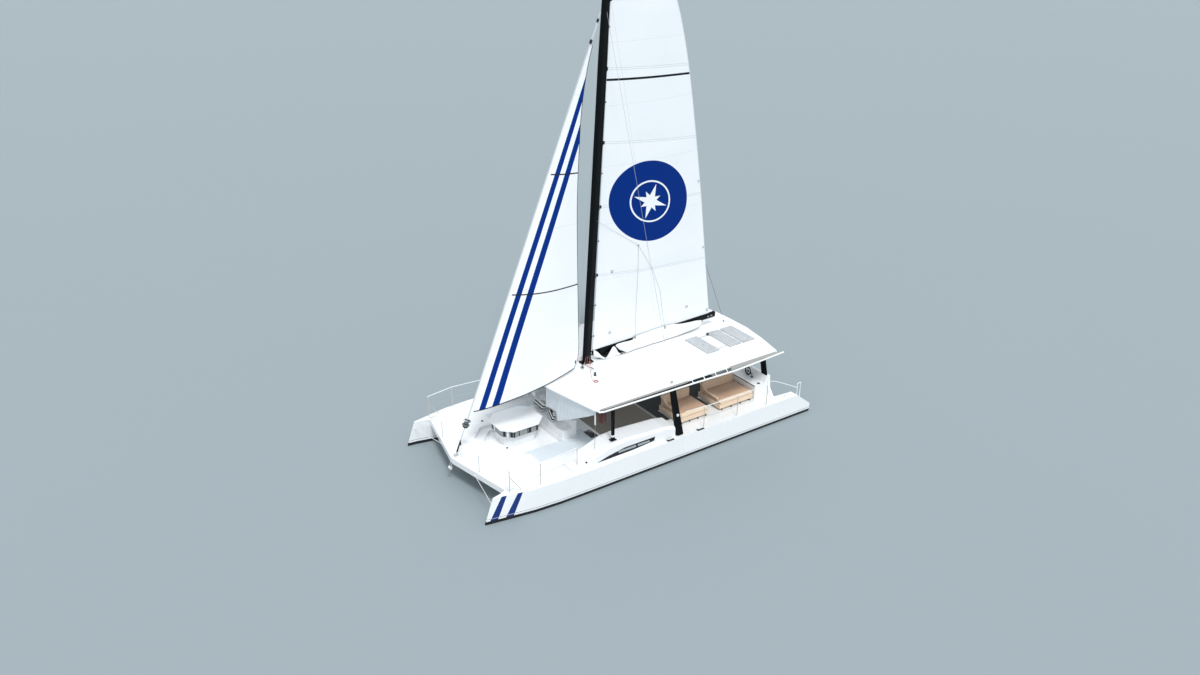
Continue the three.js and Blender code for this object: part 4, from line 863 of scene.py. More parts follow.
# The carried nodes take their finishes
nodeLooks = {"hull_": "hull", "bridge_deck": "deck", "side_trunk": "deck", "side_window": "glass",
             "hardtop_roof": "gelcoat", "post": "carbon", "aft_wall": "gelcoat",
             "helm_console": "gelcoat", "helm_wheel": "nylon", "table_top": "gelcoat", "table_base": "wicker",
             "lounge_sofa": "gelcoat", "bed_frame": "boltCloth", "solar_panels": "solar", "mast_post": "gelcoat",
             "mast": "carbon", "boom": "carbon", "furling_stay": "stay", "jib_track": "whiteTube",
             "shroud": "stainless", "bow_rail": "sheathedTube", "side_rail": "sheathedTube",
             "stern_hoop": "whiteTube",
             "engine_hatch": "gelcoat", "engine": "engine", "propeller": "bronze", "rudder": "antifouling"}
for name, node in nodes.items():
    key = next((key for key in sorted(nodeLooks, key=len, reverse=True) if name.startswith(key)), None)
    if key:
        for holder in node.material_slots:
            holder.material = looks[nodeLooks[key]]
print("carried nodes finished")

# Sail bag: a canvas cradle on each side of the boom, slack between its lines near the mast
bagCut = {"front": 0.93, "back": -4.72, "thick": 0.004,
          "top": {1: [(0.93, 3.92), (0.75, 3.76), (0.58, 3.54), (0.43, 3.44), (0.32, 3.56), (0.2, 3.74),
                      (0.1, 3.85), (0.02, 3.8), (-0.06, 3.68), (-0.16, 3.5), (-0.26, 3.43), (-0.38, 3.425),
                      (-0.6, 3.425), (-0.66, 3.8), (-1.2, 3.82), (-1.4, 3.92), (-2.9, 3.94), (-3.6, 3.83),
                      (-4.4, 3.76), (-4.72, 3.7)],
                  -1: [(0.93, 3.9), (0.15, 3.92), (-0.6, 3.92), (-1.4, 3.94), (-2.9, 3.94), (-3.6, 3.83),
                       (-4.4, 3.76), (-4.72, 3.7)]},
          "low": [(0.93, 3.6), (0.48, 3.43), (-0.6, 3.41), (-1.6, 3.385), (-2.6, 3.36), (-3.4, 3.35),
                  (-4.3, 3.4), (-4.72, 3.48)],
          "out": [(0.93, 0.045), (0.75, 0.1), (0.5, 0.2), (0.3, 0.23), (-0.6, 0.24), (-1.2, 0.19),
                  (-2.6, 0.16), (-4.72, 0.12)],
          "lean": [(0.0, 0.3), (-0.5, 0.4), (-0.8, 0.5), (-1.3, 0.72), (-3.0, 0.72), (-3.8, 0.3), (-4.72, 0.1)],
          "sweep": [(0.93, 0.0), (-0.58, 0.0), (-0.66, 0.55), (-1.0, 0.42), (-1.7, 0.0), (-4.72, 0.0)],
          "fold": 0.01, "floor": (0.9, -1.5), "floorGap": 0.012, "floorLift": 0.008}


def bagPlace(side):
    def place(u, v):
        x = mixed(bagCut["front"], bagCut["back"], u)
        top = alongKnots(bagCut["top"][side], x)
        low, out, lean = (alongKnots(bagCut[key], x) for key in ("low", "out", "lean"))
        top = max(top, low + 0.015)
        z = mixed(low, top, v) + boomRise(x)
        fold = bagCut["fold"] * math.sin(x * 26.0 + 2.0 * v) * (1 - v) * clamped((x + 1.2) / 0.8)
        fold += bagCut["fold"] * math.sin(x * 7.0 + 2.0 * v) * (1 - v)
        swept = alongKnots(bagCut["sweep"], x) * v ** 1.35 if side > 0 else 0.0  # the slack fold leans forward
        return Vector((x + swept, side * (out * (1 - lean * v ** 2.5) + fold), z))
    return place


for label, side in sides:
    bm, area = clothMesh(bagPlace(side), 160, 14, bagCut["thick"], facing=side)  # the lining faces the boom
    bag = finishPiece("sail_bag_cloth_" + label, bm, "boom_and_mainsail", [looks["bagCanvas"], looks["bagLining"]],
                      recalculate=False)
    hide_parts("sail_bag_" + label)
    clamped(area, 0.31 * 0.54 * 5.65, 0.54 * 5.65)


# The bag's floor is black lining; its black also stands for the shade seen through the bag's slits
def bagFloorPlace(u, v):  # the black floor of the bag, between its two sides
    x = mixed(*bagCut["floor"], u)
    half = alongKnots(bagCut["out"], x) - bagCut["floorGap"]
    z = alongKnots(bagCut["low"], x) + boomRise(x) + bagCut["floorLift"]
    return Vector((x, mixed(-half, half, v), z))


bm, area = clothMesh(bagFloorPlace, 60, 8, bagCut["thick"])
bagFloorShade = finishPiece("sail_bag_floor", bm, "boom_and_mainsail", [looks["bagLining"]] * 2,
                         recalculate=False)
clamped(area, 0.3 * 0.46 * 2.42, 0.46 * 2.42)
print("sail bag done")

# Front curtains: coated cloth laced under the roof's front edge, swept up to its corner
roofLine = {"half": 3.48, "edgeZ": 3.32, "crown": 0.09, "thick": 0.072, "shares": [0, 0.3, 0.62, 0.97, 1]}
curtainCut = {"outer": 3.38, "x0": 3.47, "x1": 3.04, "clear": 0.013, "thick": 0.003, "folds": 0.013,
              "belly": 0.018, "inner": (0.46, -0.04),
              "hem": [(0.4, 2.2), (0.6, 2.26), (0.9, 2.3), (1.1, 2.26), (1.15, 2.05), (1.2, 1.92),
                      (1.66, 2.14), (2.35, 2.5), (2.98, 2.84), (3.38, 3.08)]}


def roofUnderside(y):  # straight runs between the roof's sections
    shares = roofLine["shares"]
    share = clamped(abs(y) / roofLine["half"])
    i = next(k for k in range(1, len(shares)) if shares[k] >= share)
    low, high = (roofLine["edgeZ"] + roofLine["crown"] * (1 - shares[k] ** 2) for k in (i - 1, i))
    return mixed(low, high, (share - shares[i - 1]) / (shares[i] - shares[i - 1])) - roofLine["thick"]


def curtainPlace(side):
    top, swept = curtainCut["inner"]

    def place(u, v):
        inner = top + swept * v
        y = mixed(inner, curtainCut["outer"], u)
        z = mixed(roofUnderside(y), alongKnots(curtainCut["hem"], y), v)
        x = mixed(curtainCut["x0"], curtainCut["x1"], (y / curtainCut["outer"]) ** 2) + curtainCut["clear"]
        x += curtainCut["belly"] * math.sin(math.pi * v) * math.sin(math.pi * u)
        folds = curtainCut["folds"] * math.sin(24 * (y - inner) + 2 * v)
        x += folds * math.exp((inner - y) / 0.7) * min(1, 3 * v)
        return Vector((x, side * y, z))
    return place


for label, side in sides:
    bm, area = clothMesh(curtainPlace(side), 110, 44, curtainCut["thick"])
    curtain = finishPiece("front_curtain_cloth_" + label, bm, "hull_and_deck", [looks["weatherCloth"]] * 2,
                          recalculate=False)
    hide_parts("front_curtain_" + label)
    clamped(area, 0.31 * 3.1 * 1.6, 3.1 * 1.6)
print("front curtains done")

# Side curtains rolled up under the edge of the roof, each tied with straps
rollCut = {"x0": -1.25, "x1": 2.9, "y": 3.5183, "z": 3.28, "inner": 0.012, "outer": 0.036, "turns": 3.5,
           "thick": 0.003, "straps": 6, "strapEnd": 0.15, "strapRadius": 0.0385, "strapThick": 0.003}


def rollPlace(side):
    def place(u, v):
        turn = v * rollCut["turns"] * 2 * math.pi
        slack = 1 + 0.05 * noise.noise(Vector((u * 14, v * 3, side)))
        radius = mixed(rollCut["inner"], rollCut["outer"], v) * slack
        return Vector((mixed(rollCut["x0"], rollCut["x1"], u), side * (rollCut["y"] + radius * math.cos(turn)),
                       rollCut["z"] + radius * math.sin(turn)))
    return place


for label, side in sides:
    bm, area = clothMesh(rollPlace(side), 60, 70, rollCut["thick"])
    roll = finishPiece("rolled_curtain_cloth_" + label, bm, "hull_and_deck", [looks["rollCanvas"]] * 2,
                       recalculate=False)
    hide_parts("rolled_curtain_" + label)
    straps = bmesh.new()
    for i in range(rollCut["straps"]):
        ends = (rollCut["x0"] + rollCut["strapEnd"], rollCut["x1"] - rollCut["strapEnd"])
        middle = (mixed(*ends, i / (rollCut["straps"] - 1)), side * rollCut["y"], rollCut["z"])
        addRing(straps, middle, (1, 0, 0), rollCut["strapRadius"], rollCut["strapThick"], 20, 6)
    strap = finishPiece("rolled_curtain_straps_" + label, straps, "hull_and_deck", looks["strap"])
    clamped(area, 0.3 * 4.16 * 0.56, 4.16 * 0.56)
print("rolled curtains done")

# Cushions: foam pads, puffed by a short cloth simulation, then creased along their seams
padSettings = {"voxel": 0.018, "pressure": 4.0, "frames": 20, "cap": 0.018, "heldUpTo": 0.012, "quality": 5,
               "mass": 0.4}


def puffed(bm, voxel=None):  # returns a new bmesh, swollen and smoothed
    mesh = bpy.data.meshes.new("pad")
    bm.to_mesh(mesh)
    bm.free()
    pad = bpy.data.objects.new("pad", mesh)
    bpy.context.scene.collection.objects.link(pad)
    remesh = pad.modifiers.new("remesh", "REMESH")
    remesh.mode = "VOXEL"
    remesh.voxel_size = voxel or padSettings["voxel"]
    bpy.context.view_layer.update()
    even = bpy.data.meshes.new_from_object(pad.evaluated_get(bpy.context.evaluated_depsgraph_get()))
    pad.modifiers.clear()
    pad.data = even
    before = [vert.co.copy() for vert in even.vertices]
    low = min(co.z for co in before)
    held = pad.vertex_groups.new(name="held")
    held.add([i for i, co in enumerate(before) if co.z < low + padSettings["heldUpTo"]], 1.0, "REPLACE")
    cloth = pad.modifiers.new("cloth", "CLOTH")
    cloth.settings.quality = padSettings["quality"]
    cloth.settings.mass = padSettings["mass"]
    cloth.settings.use_pressure = True
    cloth.settings.uniform_pressure_force = padSettings["pressure"]
    cloth.settings.effector_weights.gravity = 0.0
    cloth.settings.vertex_group_mass = "held"
    cloth.point_cache.frame_end = padSettings["frames"]
    for step in range(1, padSettings["frames"] + 1):
        bpy.context.scene.frame_set(step)
    swollen = bpy.data.meshes.new_from_object(pad.evaluated_get(bpy.context.evaluated_depsgraph_get()))
    for vert, start in zip(swollen.vertices, before):
        move = vert.co - start
        if move.length > padSettings["cap"]:
            vert.co = start + move.normalized() * padSettings["cap"]
    pad.modifiers.clear()
    pad.data = swollen
    bpy.context.scene.frame_set(1)
    result = bmesh.new()
    result.from_mesh(pad.data)
    bpy.data.objects.remove(pad)
    bmesh.ops.smooth_vert(result, verts=result.verts[:], factor=0.5, use_axis_x=True, use_axis_y=True,
                          use_axis_z=True)
    return result


def padBlock(low, high, round):  # a box with soft edges
    bm = bmesh.new()
    addBox(bm, low, high, round, 4)
    return bm


def creased(bm, keep, axis, places, width, depth):  # sewn channels: a V where the pad's skin crosses a plane
    for vert in bm.verts:
        if not keep(vert.co):
            continue
        away = min(abs(vert.co[axis] - at) for at in places)
        if away < width:
            vert.co -= vert.normal * depth * (1 - away / width) ** 2


# Of each part: its gap at the bed's ends, y and height from and to, rounding, cloth
bedSettings = {"spans": (("forward", (-2.84, -1.33)), ("aft", (-5.29, -3.45))), "base": 1.3306,
               "seat": (0.02, (1.83, 2.83), (0.005, 0.145), 0.035, "seatCloth"),
               "bolster": (0.015, (2.84, 3.06), (0.0, 0.15), 0.06, "boltCloth"),
               "back": (0.03, (1.63, 1.82), (0.03, 0.545), 0.06, "backCloth"),
               "backCreases": 7, "creaseWide": 0.03, "creaseDeep": 0.012, "pipeWide": 0.014, "pipeDeep": 0.006}
base = bedSettings["base"]
for name, (x0, x1) in bedSettings["spans"]:
    forms = {}
    for part in ("seat", "bolster", "back"):
        gap, (y0, y1), (z0, z1), soft, look = bedSettings[part]
        forms[part] = (padBlock((x0 + gap, y0, base + z0), (x1 - gap, y1, base + z1), soft), look)
    crease = (bedSettings["creaseWide"], bedSettings["creaseDeep"])
    for part, (bm, look) in forms.items():
        bm = puffed(bm)
        if part == "back":
            count = bedSettings["backCreases"]
            creased(bm, lambda co: co.y > 1.72, 0, [mixed(x0, x1, i / count) for i in range(1, count)], *crease)
        if part == "seat":
            creased(bm, lambda co: co.z > base + 0.09, 0, [mixed(x0, x1, 0.5)], *crease)
        if part == "bolster":
            creased(bm, lambda co: True, 2, [base + 0.075], bedSettings["pipeWide"], bedSettings["pipeDeep"])
        for label, form in (("port", bm), ("starboard", mirrored(bm))):
            pad = finishPiece("bed_" + part + "_" + name + "_" + label, form, "hull_and_deck", looks[look],
                              60)
            if part == "seat":
                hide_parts("bed_cushion_" + name + "_" + label)
print("sun bed cushions done")

# Striped pillows on the sofa, leaning on its back
# Of each pillow: its place, roll in degrees and cloth
pillowSettings = {"half": (0.075, 0.27, 0.17), "lean": 30, "z": 1.595, "edge": 0.055, "voxel": 0.014,
                  "each": [(3.04, -0.7, 4, "levelStripes"), (3.09, 0.19, -7, "slantStripes"),
                           (3.02, -1.02, 5, "levelStripes")]}
half = Vector(pillowSettings["half"])
for i, (x, y, roll, look) in enumerate(pillowSettings["each"]):
    bm = padBlock(-half, half, pillowSettings["edge"])
    for vert in bm.verts:  # corners draw out, sides draw in
        across, above = abs(vert.co.y) / half.y, abs(vert.co.z) / half.z
        vert.co.x *= 1 - 0.55 * max(across, above) ** 3
        vert.co.y *= 1 - 0.07 * (1 - above ** 2)
        vert.co.z *= 1 - 0.09 * (1 - across ** 2)
    tilt = Matrix.Rotation(math.radians(-pillowSettings["lean"]), 4, "Y")
    tilt = tilt @ Matrix.Rotation(math.radians(roll), 4, "X")
    bmesh.ops.transform(bm, matrix=Matrix.Translation((x, y, pillowSettings["z"])) @ tilt, verts=bm.verts[:])
    pillow = finishPiece("striped_pillow_" + str(i + 1), puffed(bm, pillowSettings["voxel"]), "hull_and_deck",
                         looks[look], 60)
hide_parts("striped_cushions")
print("pillows done")

# Arms of the sun beds: a padded roll over the forward end, falling from the back to the seat
armSettings = {"radius": 0.045, "inset": 0.055, "line": [(1.66, 0.42), (1.86, 0.36), (2.02, 0.24), (2.25, 0.2),
                                                         (2.55, 0.195), (2.8, 0.185)]}
footForm = [(0, 0), (0.03, 0), (0.034, 0.02), (0.022, 0.04), (0.022, 0.098), (0, 0.098)]
for name, (x0, x1) in bedSettings["spans"]:
    bm, feet = bmesh.new(), bmesh.new()
    route = [(x1 - armSettings["inset"], y, base + z) for y, z in armSettings["line"]]
    addTube(bm, roundedRoute(route, 5), armSettings["radius"], 12)
    for share in (0.08, 0.36, 0.64, 0.92):
        addTurned(feet, (mixed(x0, x1, share), 3.0, 1.031), footForm)
    for label, form, under in (("port", bm.copy(), feet.copy()), ("starboard", mirrored(bm), mirrored(feet))):
        arm = finishPiece("bed_arm_" + name + "_" + label, form, "hull_and_deck", looks["boltCloth"],
                          60)
        finishPiece("bed_feet_" + name + "_" + label, under, "hull_and_deck", looks["nylon"])
print("pads' arms and feet done")

# Mats: dark ribbed rubber around the sun beds, carpet amidships, a metal strip between them. Their dark colours are
# partly painted shade, standing in for the shade on the floor under the roof and before each bed
matSettings = {"z": 1.0306, "thick": 0.008, "dark": (-5.3, -0.93), "olive": (-0.84, 1.8), "half": 2.4,
               "aisle": 1.52, "postGap": 0.01, "strip": ((-0.9, -2.57, 1.031), (-0.87, 2.57, 1.041))}
beds = [span for name, span in bedSettings["spans"]]
half, aisle = matSettings["half"], matSettings["aisle"]
xs = sorted([*matSettings["dark"]] + [x for bed in beds for x in bed])
bm, area = cellSheet(xs, [-half, -aisle, 0, aisle, half], matSettings["z"], matSettings["thick"],
                     lambda x, y: abs(y) < aisle or not any(bed[0] < x < bed[1] for bed in beds))
mat = finishPiece("ribbed_deck_mat", bm, "hull_and_deck", looks["darkMat"])
low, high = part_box("mast_post")
gap = matSettings["postGap"]
xs = [matSettings["olive"][0], low.x - gap, high.x + gap, matSettings["olive"][1]]
bm, area = cellSheet(xs, [-half, low.y - gap, high.y + gap, half], matSettings["z"], matSettings["thick"],
                     lambda x, y: not (low.x < x < high.x and low.y < y < high.y))
carpet = finishPiece("midship_carpet", bm, "hull_and_deck", looks["oliveMat"])
bm = bmesh.new()
addBox(bm, *matSettings["strip"], 0.003)
finishPiece("floor_strip", bm, "hull_and_deck", looks["aluminium"])
print("mats done")

# Mast: luff track with its cars, and the cars' toggles on the sail
trackSettings = {"bends": (4.0, 8.0, 12.0, 15.5, 18.0, 20.2), "radius": 0.008, "first": 4.5, "step": 1.35,
                 "battenCar": (0.11, 0.034, 0.09), "car": (0.045, 0.02, 0.03), "luffRope": 0.012}
# Of each ring: its place on the cloth, radius, thickness, segments
ringSettings = [(0.13, 0.035, 0.05, 0.014, 20), (0.80, 0.042, 0.05, 0.014, 20), (0.12, 0.2, 0.05, 0.014, 20),
                (0.985, 0.012, 0.05, 0.014, 20), (0.985, 0.2, 0.04, 0.011, 16), (0.985, 0.38, 0.04, 0.011, 16)]
track, toggles, rings = bmesh.new(), bmesh.new(), bmesh.new()
addTube(track, [(mastFace(z) - 0.004, 0, z) for z in trackSettings["bends"]], trackSettings["radius"], 6, 1)
battenCars = [at for at, rise in mainCut["battens"]]
plainCars = []
z = trackSettings["first"]
while z < trackSettings["bends"][-1]:
    if all(abs(z - at) > 0.4 for at in battenCars):
        plainCars.append(z)
    z += trackSettings["step"]
for z in battenCars + plainCars:
    tall, wide, reach = trackSettings["battenCar" if z in battenCars else "car"]
    face, axis = mastFace(z), mainLuff(z) + trackSettings["luffRope"]
    gap = face - axis
    addBox(track, (face - 0.32 * gap, -wide, z - tall), (face - 0.002, wide, z + tall), 0.006)
    half = min(0.013, 0.35 * gap)
    addBox(toggles, (mainLuff(z) - reach, -half, z - tall * 0.6), (axis + 0.15 * gap, half, z + tall * 0.6), half / 2)
finishPiece("luff_track_and_cars", track, "hull_and_deck", [looks["nylon"], looks["aluminium"]])
for u, v, radius, thick, segments in ringSettings:
    addRing(rings, mainPlace(u, v), (0, 1, 0), radius, thick, segments, 6)
head = mainPlace(0.02, 0.995)
addBox(rings, head - Vector((0.3, 0.02, 0.34)), head + Vector((0.0, 0.02, 0.0)), 0.01)
finishPiece("sail_rings_and_headboard", rings, "boom_and_mainsail", looks["aluminium"])
addTube(toggles, [mainPlace(1.0, i / 60) for i in range(61)], 0.012, 6, 1)
finishPiece("sail_toggles_and_leech_line", toggles, "boom_and_mainsail", [looks["nylon"], looks["palePlastic"]])
print("mast and sail fittings done")


def sailSide(x, z):  # port face of the mainsail at a place
    chord = mainLuff(z) - alongKnots(mainCut["leech"], z)
    u = clamped((mainLuff(z) - x) / chord)
    return mainBelly(u, z, chord) + mainCut["puff"] * math.sin(math.pi * u)


# Lazy jacks, taut on each side of the mainsail, with a small ring at their fork
jackSettings = {"mast": (0.78, 0.1, 9.43), "ring": (-1.13, 8.09), "front": (-1.15, 3.98),
                "back": [(-1.85, 6.94), (-2.36, 5.79), (-2.62, 4.4), (-2.72, 4.04)], "radius": 0.0045,
                "clear": 0.03, "least": 0.09, "away": -0.1, "endY": 0.085}


def jackRoute(points, side):
    spread = []
    for (x0, z0), (x1, z1) in zip(points, points[1:]):
        spread += [(mixed(x0, x1, i / 8), mixed(z0, z1, i / 8)) for i in range(8)]
    spread.append(points[-1])
    if side < 0:
        return [Vector((x, jackSettings["away"], z)) for x, z in spread]
    return [Vector((x, max(sailSide(x, z) + jackSettings["clear"], jackSettings["least"]), z)) for x, z in spread]


for label, side in sides:
    fork, front, back = jackSettings["ring"], jackSettings["front"], jackSettings["back"]
    ring = jackRoute([fork, fork], side)[0]
    legs, upper = bmesh.new(), bmesh.new()
    for points in ([fork, front], [fork] + back):
        addTube(legs, jackRoute(points, side), jackSettings["radius"], 6)
    addRing(legs, ring, (0, 1, 0), 0.03, 0.009, 14, 6)
    for x, z in (front, back[-1]):
        y = side * jackSettings["endY"]
        addBox(legs, (x - 0.03, y - 0.02, z - 0.1), (x + 0.03, y + 0.02, z + 0.02), 0.01)
    finishPiece("lazy_jack_legs_" + label, legs, "boom_and_mainsail", looks["dullLine"])
    start = Vector(jackSettings["mast"])
    start.y *= side
    addTube(upper, straightRoute(start, ring, 16), jackSettings["radius"], 6)
    jack = finishPiece("lazy_jack_line_" + label, upper, None, looks["dullLine"])
    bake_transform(jack)
print("lazy jacks done")

# Lines from the roof to the sail and the boom: leech line and mainsheet
lineSettings = {"leechFoot": (-6.1, 0), "leechZ": 6.43, "leechLift": 0.03, "leechRadius": 0.006,
                "sheetFoot": (-4.56, 0.74), "sheetX": -4.74, "sheetDrop": 0.15, "sheetRadius": 0.007,
                "blockTop": 0.08, "parts": (-0.025, 0.025)}
roofAft = roofAt(*lineSettings["leechFoot"])
sheetFoot = roofAt(*lineSettings["sheetFoot"])
leechZ = lineSettings["leechZ"]
leechHead = Vector((alongKnots(mainCut["leech"], leechZ) - 0.012, 0, leechZ))
line = bmesh.new()
lifts = [Vector((0, 0, lineSettings["leechLift"] * (1 - i / 24))) for i in range(25)]
addTube(line, [place + lift for place, lift in zip(straightRoute(roofAft, leechHead, 24), lifts)],
        lineSettings["leechRadius"], 6)
leechLine = finishPiece("leech_line", line, None, looks["nylon"])
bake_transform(leechLine)
sheetX = lineSettings["sheetX"]
sheetHead = Vector((sheetX, 0.0, boomLine["middleZ"] + boomRise(sheetX) - lineSettings["sheetDrop"]))
sheetTop = sheetFoot + Vector((0, 0, lineSettings["blockTop"]))
line = bmesh.new()
for shift in lineSettings["parts"]:
    a, b = sheetTop + Vector((shift, 0, 0)), sheetHead + Vector((shift, 0.04, 0))
    addTube(line, straightRoute(a, b, 12), lineSettings["sheetRadius"], 6)
mainsheet = finishPiece("mainsheet", line, None, looks["whiteRope"])
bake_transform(mainsheet)
leechBlock = [(0, 0), (0.05, 0), (0.05, 0.008), (0.018, 0.014), (0.018, 0.03), (0, 0.03)]
sheetBlock = [(0, 0), (0.07, 0), (0.07, 0.01), (0.03, 0.02), (0.03, 0.04), (0, 0.04)]
blocks = bmesh.new()
addTurned(blocks, roofAft + Vector((0, 0, 0.001)), leechBlock)
addTurned(blocks, sheetFoot + Vector((0, 0, 0.001)), sheetBlock)
addBox(blocks, sheetFoot + Vector((-0.05, -0.03, 0.035)), sheetFoot + Vector((0.05, 0.03, 0.1)), 0.015)
finishPiece("roof_blocks", blocks, "hull_and_deck", looks["nylon"])
print("leech line and mainsheet done")

# Boom: end cap, sheet block, cleats on its side and plates under it
boomSettings = {"cap": (-5.5, (-5.529, -5.44), 0.078, 0.118), "cleats": (-5.28, -5.1),
                "plates": (-1.0, 0.1, -2.2, -3.4, -4.3)}
boomEnd = bmesh.new()
at, (x0, x1), half, tall = boomSettings["cap"]
z = boomLine["middleZ"] + boomRise(at)
addBox(boomEnd, (x0, -half, z - tall), (x1, half, z + tall), 0.02, 3)
addBox(boomEnd, (-4.82, -0.03, sheetHead.z - 0.03), (-4.66, 0.06, sheetHead.z + 0.035), 0.012)
for x in boomSettings["cleats"]:
    z = boomLine["middleZ"] + boomRise(x)
    addBox(boomEnd, (x - 0.05, 0.076, z - 0.03), (x + 0.05, 0.11, z + 0.05), 0.012, 2, 1)
for x in boomSettings["plates"]:
    z = boomLine["middleZ"] + boomRise(x)
    addBox(boomEnd, (x - 0.025, -0.08, z - 0.121), (x + 0.025, 0.08, z - 0.113), 0.003, 1, 1)
finishPiece("boom_end_and_fittings", boomEnd, "boom_and_mainsail", [looks["nylon"], looks["aluminium"]])
print("boom fittings done")

# Headsail: swivels and strop above its head, furling drum flanges, clew board, sheet and its car
headsailSettings = {"swivels": ((16.12, 0.05, 0.14), (16.84, 0.045, 0.12)), "flanges": (2.17, 2.29, 2.43),
                    "cage": (2.18, 2.44, 0.094, 0.006), "strop": (16.2, 16.84, 0.012), "head": (15.95, 16.1),
                    "foot": (1.2, 1.66), "tail": [(7.2, 0.12, 1.62), (7.17, 0.18, 1.07)]}
flangeForm = [(0.05, 0), (0.1, 0), (0.104, 0.012), (0.1, 0.026), (0.05, 0.026)]


def onStay(z, forward=0.0):
    return Vector((stayX(z) + forward, 0, z))


stayWay = Vector((stayX(3) - stayX(2), 0, 1)).normalized()
fore, white = bmesh.new(), bmesh.new()
for z, radius, tall in headsailSettings["swivels"]:
    addTurned(fore, onStay(z), [(0.024, 0), (radius, 0.02), (radius, tall), (0.024, tall + 0.02)], stayWay, 18)
for z in headsailSettings["flanges"]:
    addTurned(fore, onStay(z), flangeForm, stayWay, 26)
z0, z1, out, radius = headsailSettings["cage"]
for k in range(4):
    turn = Matrix.Rotation(math.pi / 4 + k * math.pi / 2, 3, stayWay)
    side = turn @ stayWay.orthogonal().normalized() * out
    addBar(fore, onStay(z0) + side, onStay(z1) + side, radius, segments=8)
z0, z1, radius = headsailSettings["strop"]
addBar(white, onStay(z0, -0.055), onStay(z1, -0.05), radius)
addTube(white, [onStay(z, -0.06) for z in headsailSettings["head"]], 0.014)
clew = jibPlace(0.985, 0.02)
addBox(fore, clew - Vector((0.02, 0.016, 0.05)), clew + Vector((0.12, 0.016, 0.09)), 0.012, 2)
low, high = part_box("jib_track")
trackTop = hitOn("jib_track", (3, 0.43, mixed(low.z, high.z, 0.6)), (-1, 0, 0)) + Vector((-0.02, 0, 0))
trackTop.z = high.z
addBox(fore, trackTop + Vector((-0.05, -0.07, 0.001)), trackTop + Vector((0.05, 0.07, 0.05)), 0.012, 2, 1)
addTurned(fore, trackTop + Vector((0, -0.02, 0.09)), [(0.012, 0), (0.035, 0), (0.035, 0.03), (0.012, 0.03)],
          (0, 1, 0), 16, 1)
addTube(white, straightRoute(clew, trackTop + Vector((0, 0, 0.1)), 10), 0.009)
mastSide = Vector((1.45, 0.2, trackTop.z + 0.06))
addTube(white, straightRoute(trackTop + Vector((-0.02, 0, 0.09)), mastSide, 8), 0.008)
z0, z1 = headsailSettings["foot"]
addBar(fore, onStay(z0), onStay(z1), 0.034, 0.03)
tail = [onStay(2.15, 0.04) + Vector((0, 0.08, 0))] + [Vector(place) for place in headsailSettings["tail"]]
addTube(white, roundedRoute(tail, 8), 0.007)
addBar(fore, tail[1] - Vector((0, 0, 0.11)), tail[1] + Vector((0, 0, 0.05)), 0.022)
finishPiece("headsail_fittings", fore, "hull_and_deck", [looks["nylon"], looks["aluminium"]])
finishPiece("headsail_strop_and_sheet", white, "hull_and_deck", looks["whiteRope"])
print("headsail fittings done")

# Mast foot: turning blocks, clutches and two winches on the roof, with one halyard tail coiled
footSettings = {"winches": [(1.61, 1.17), (1.61, -1.17)],
                "blocks": [(1.52, 0.24), (1.44, 0.3), (1.3, 0.34), (1.12, 0.3)],
                "clutches": [(1.42, 0.62 + 0.075 * k) for k in range(3)],
                "mastY": 0.1, "mastZ": 3.72, "hank": (1.235, 0.275, 3.5)}
winchForm = [(0, 0), (0.06, 0), (0.06, 0.02), (0.04, 0.035), (0.036, 0.07), (0.042, 0.1), (0.054, 0.11),
             (0.054, 0.122), (0.03, 0.13), (0, 0.13)]
foot = bmesh.new()
for x, y in footSettings["winches"]:
    addTurned(foot, roofAt(x, y, 0.001), winchForm, segments=28)
for s in (1, -1):
    for x, y in footSettings["blocks"]:
        place = roofAt(x, s * y)
        addBox(foot, place + Vector((-0.03, -0.014, 0.001)), place + Vector((0.03, 0.014, 0.055)), 0.01, 2, 1)
    for x, y in footSettings["clutches"]:
        place = roofAt(x, s * y)
        addBox(foot, place + Vector((-0.1, -0.03, 0.001)), place + Vector((0.1, 0.03, 0.055)), 0.012, 2, 1)
        addBox(foot, place + Vector((-0.03, -0.012, 0.056)), place + Vector((0.05, 0.012, 0.07)), 0.005)
finishPiece("mast_foot_winches_and_blocks", foot, "hull_and_deck", [looks["nylon"], looks["palePlastic"]])
halyards = bmesh.new()
for s in (1, -1):
    for k in range(3):
        x, y = footSettings["blocks"][k]
        clutchX, clutchY = footSettings["clutches"][k]
        a, b = roofAt(x, s * y, 0.05), roofAt(clutchX, s * clutchY, 0.045)
        addTube(halyards, straightRoute(a, b, 6), 0.007, 6)
        z = footSettings["mastZ"]
        up = Vector((mastX(z) + 0.08 - 0.07 * k, s * footSettings["mastY"], z))
        addTube(halyards, straightRoute(a, up, 6), 0.006, 6)
for k in range(3):  # a hank hung beside the mast
    x, y, z = footSettings["hank"]
    addRing(halyards, (x + 0.012 * k, y, z), (1, 0.15 * k, 0), 0.052, 0.011, 20, 6, paint=1)
finishPiece("halyards", halyards, "hull_and_deck", [looks["redRope"], looks["redCloth"]])
print("mast foot done")

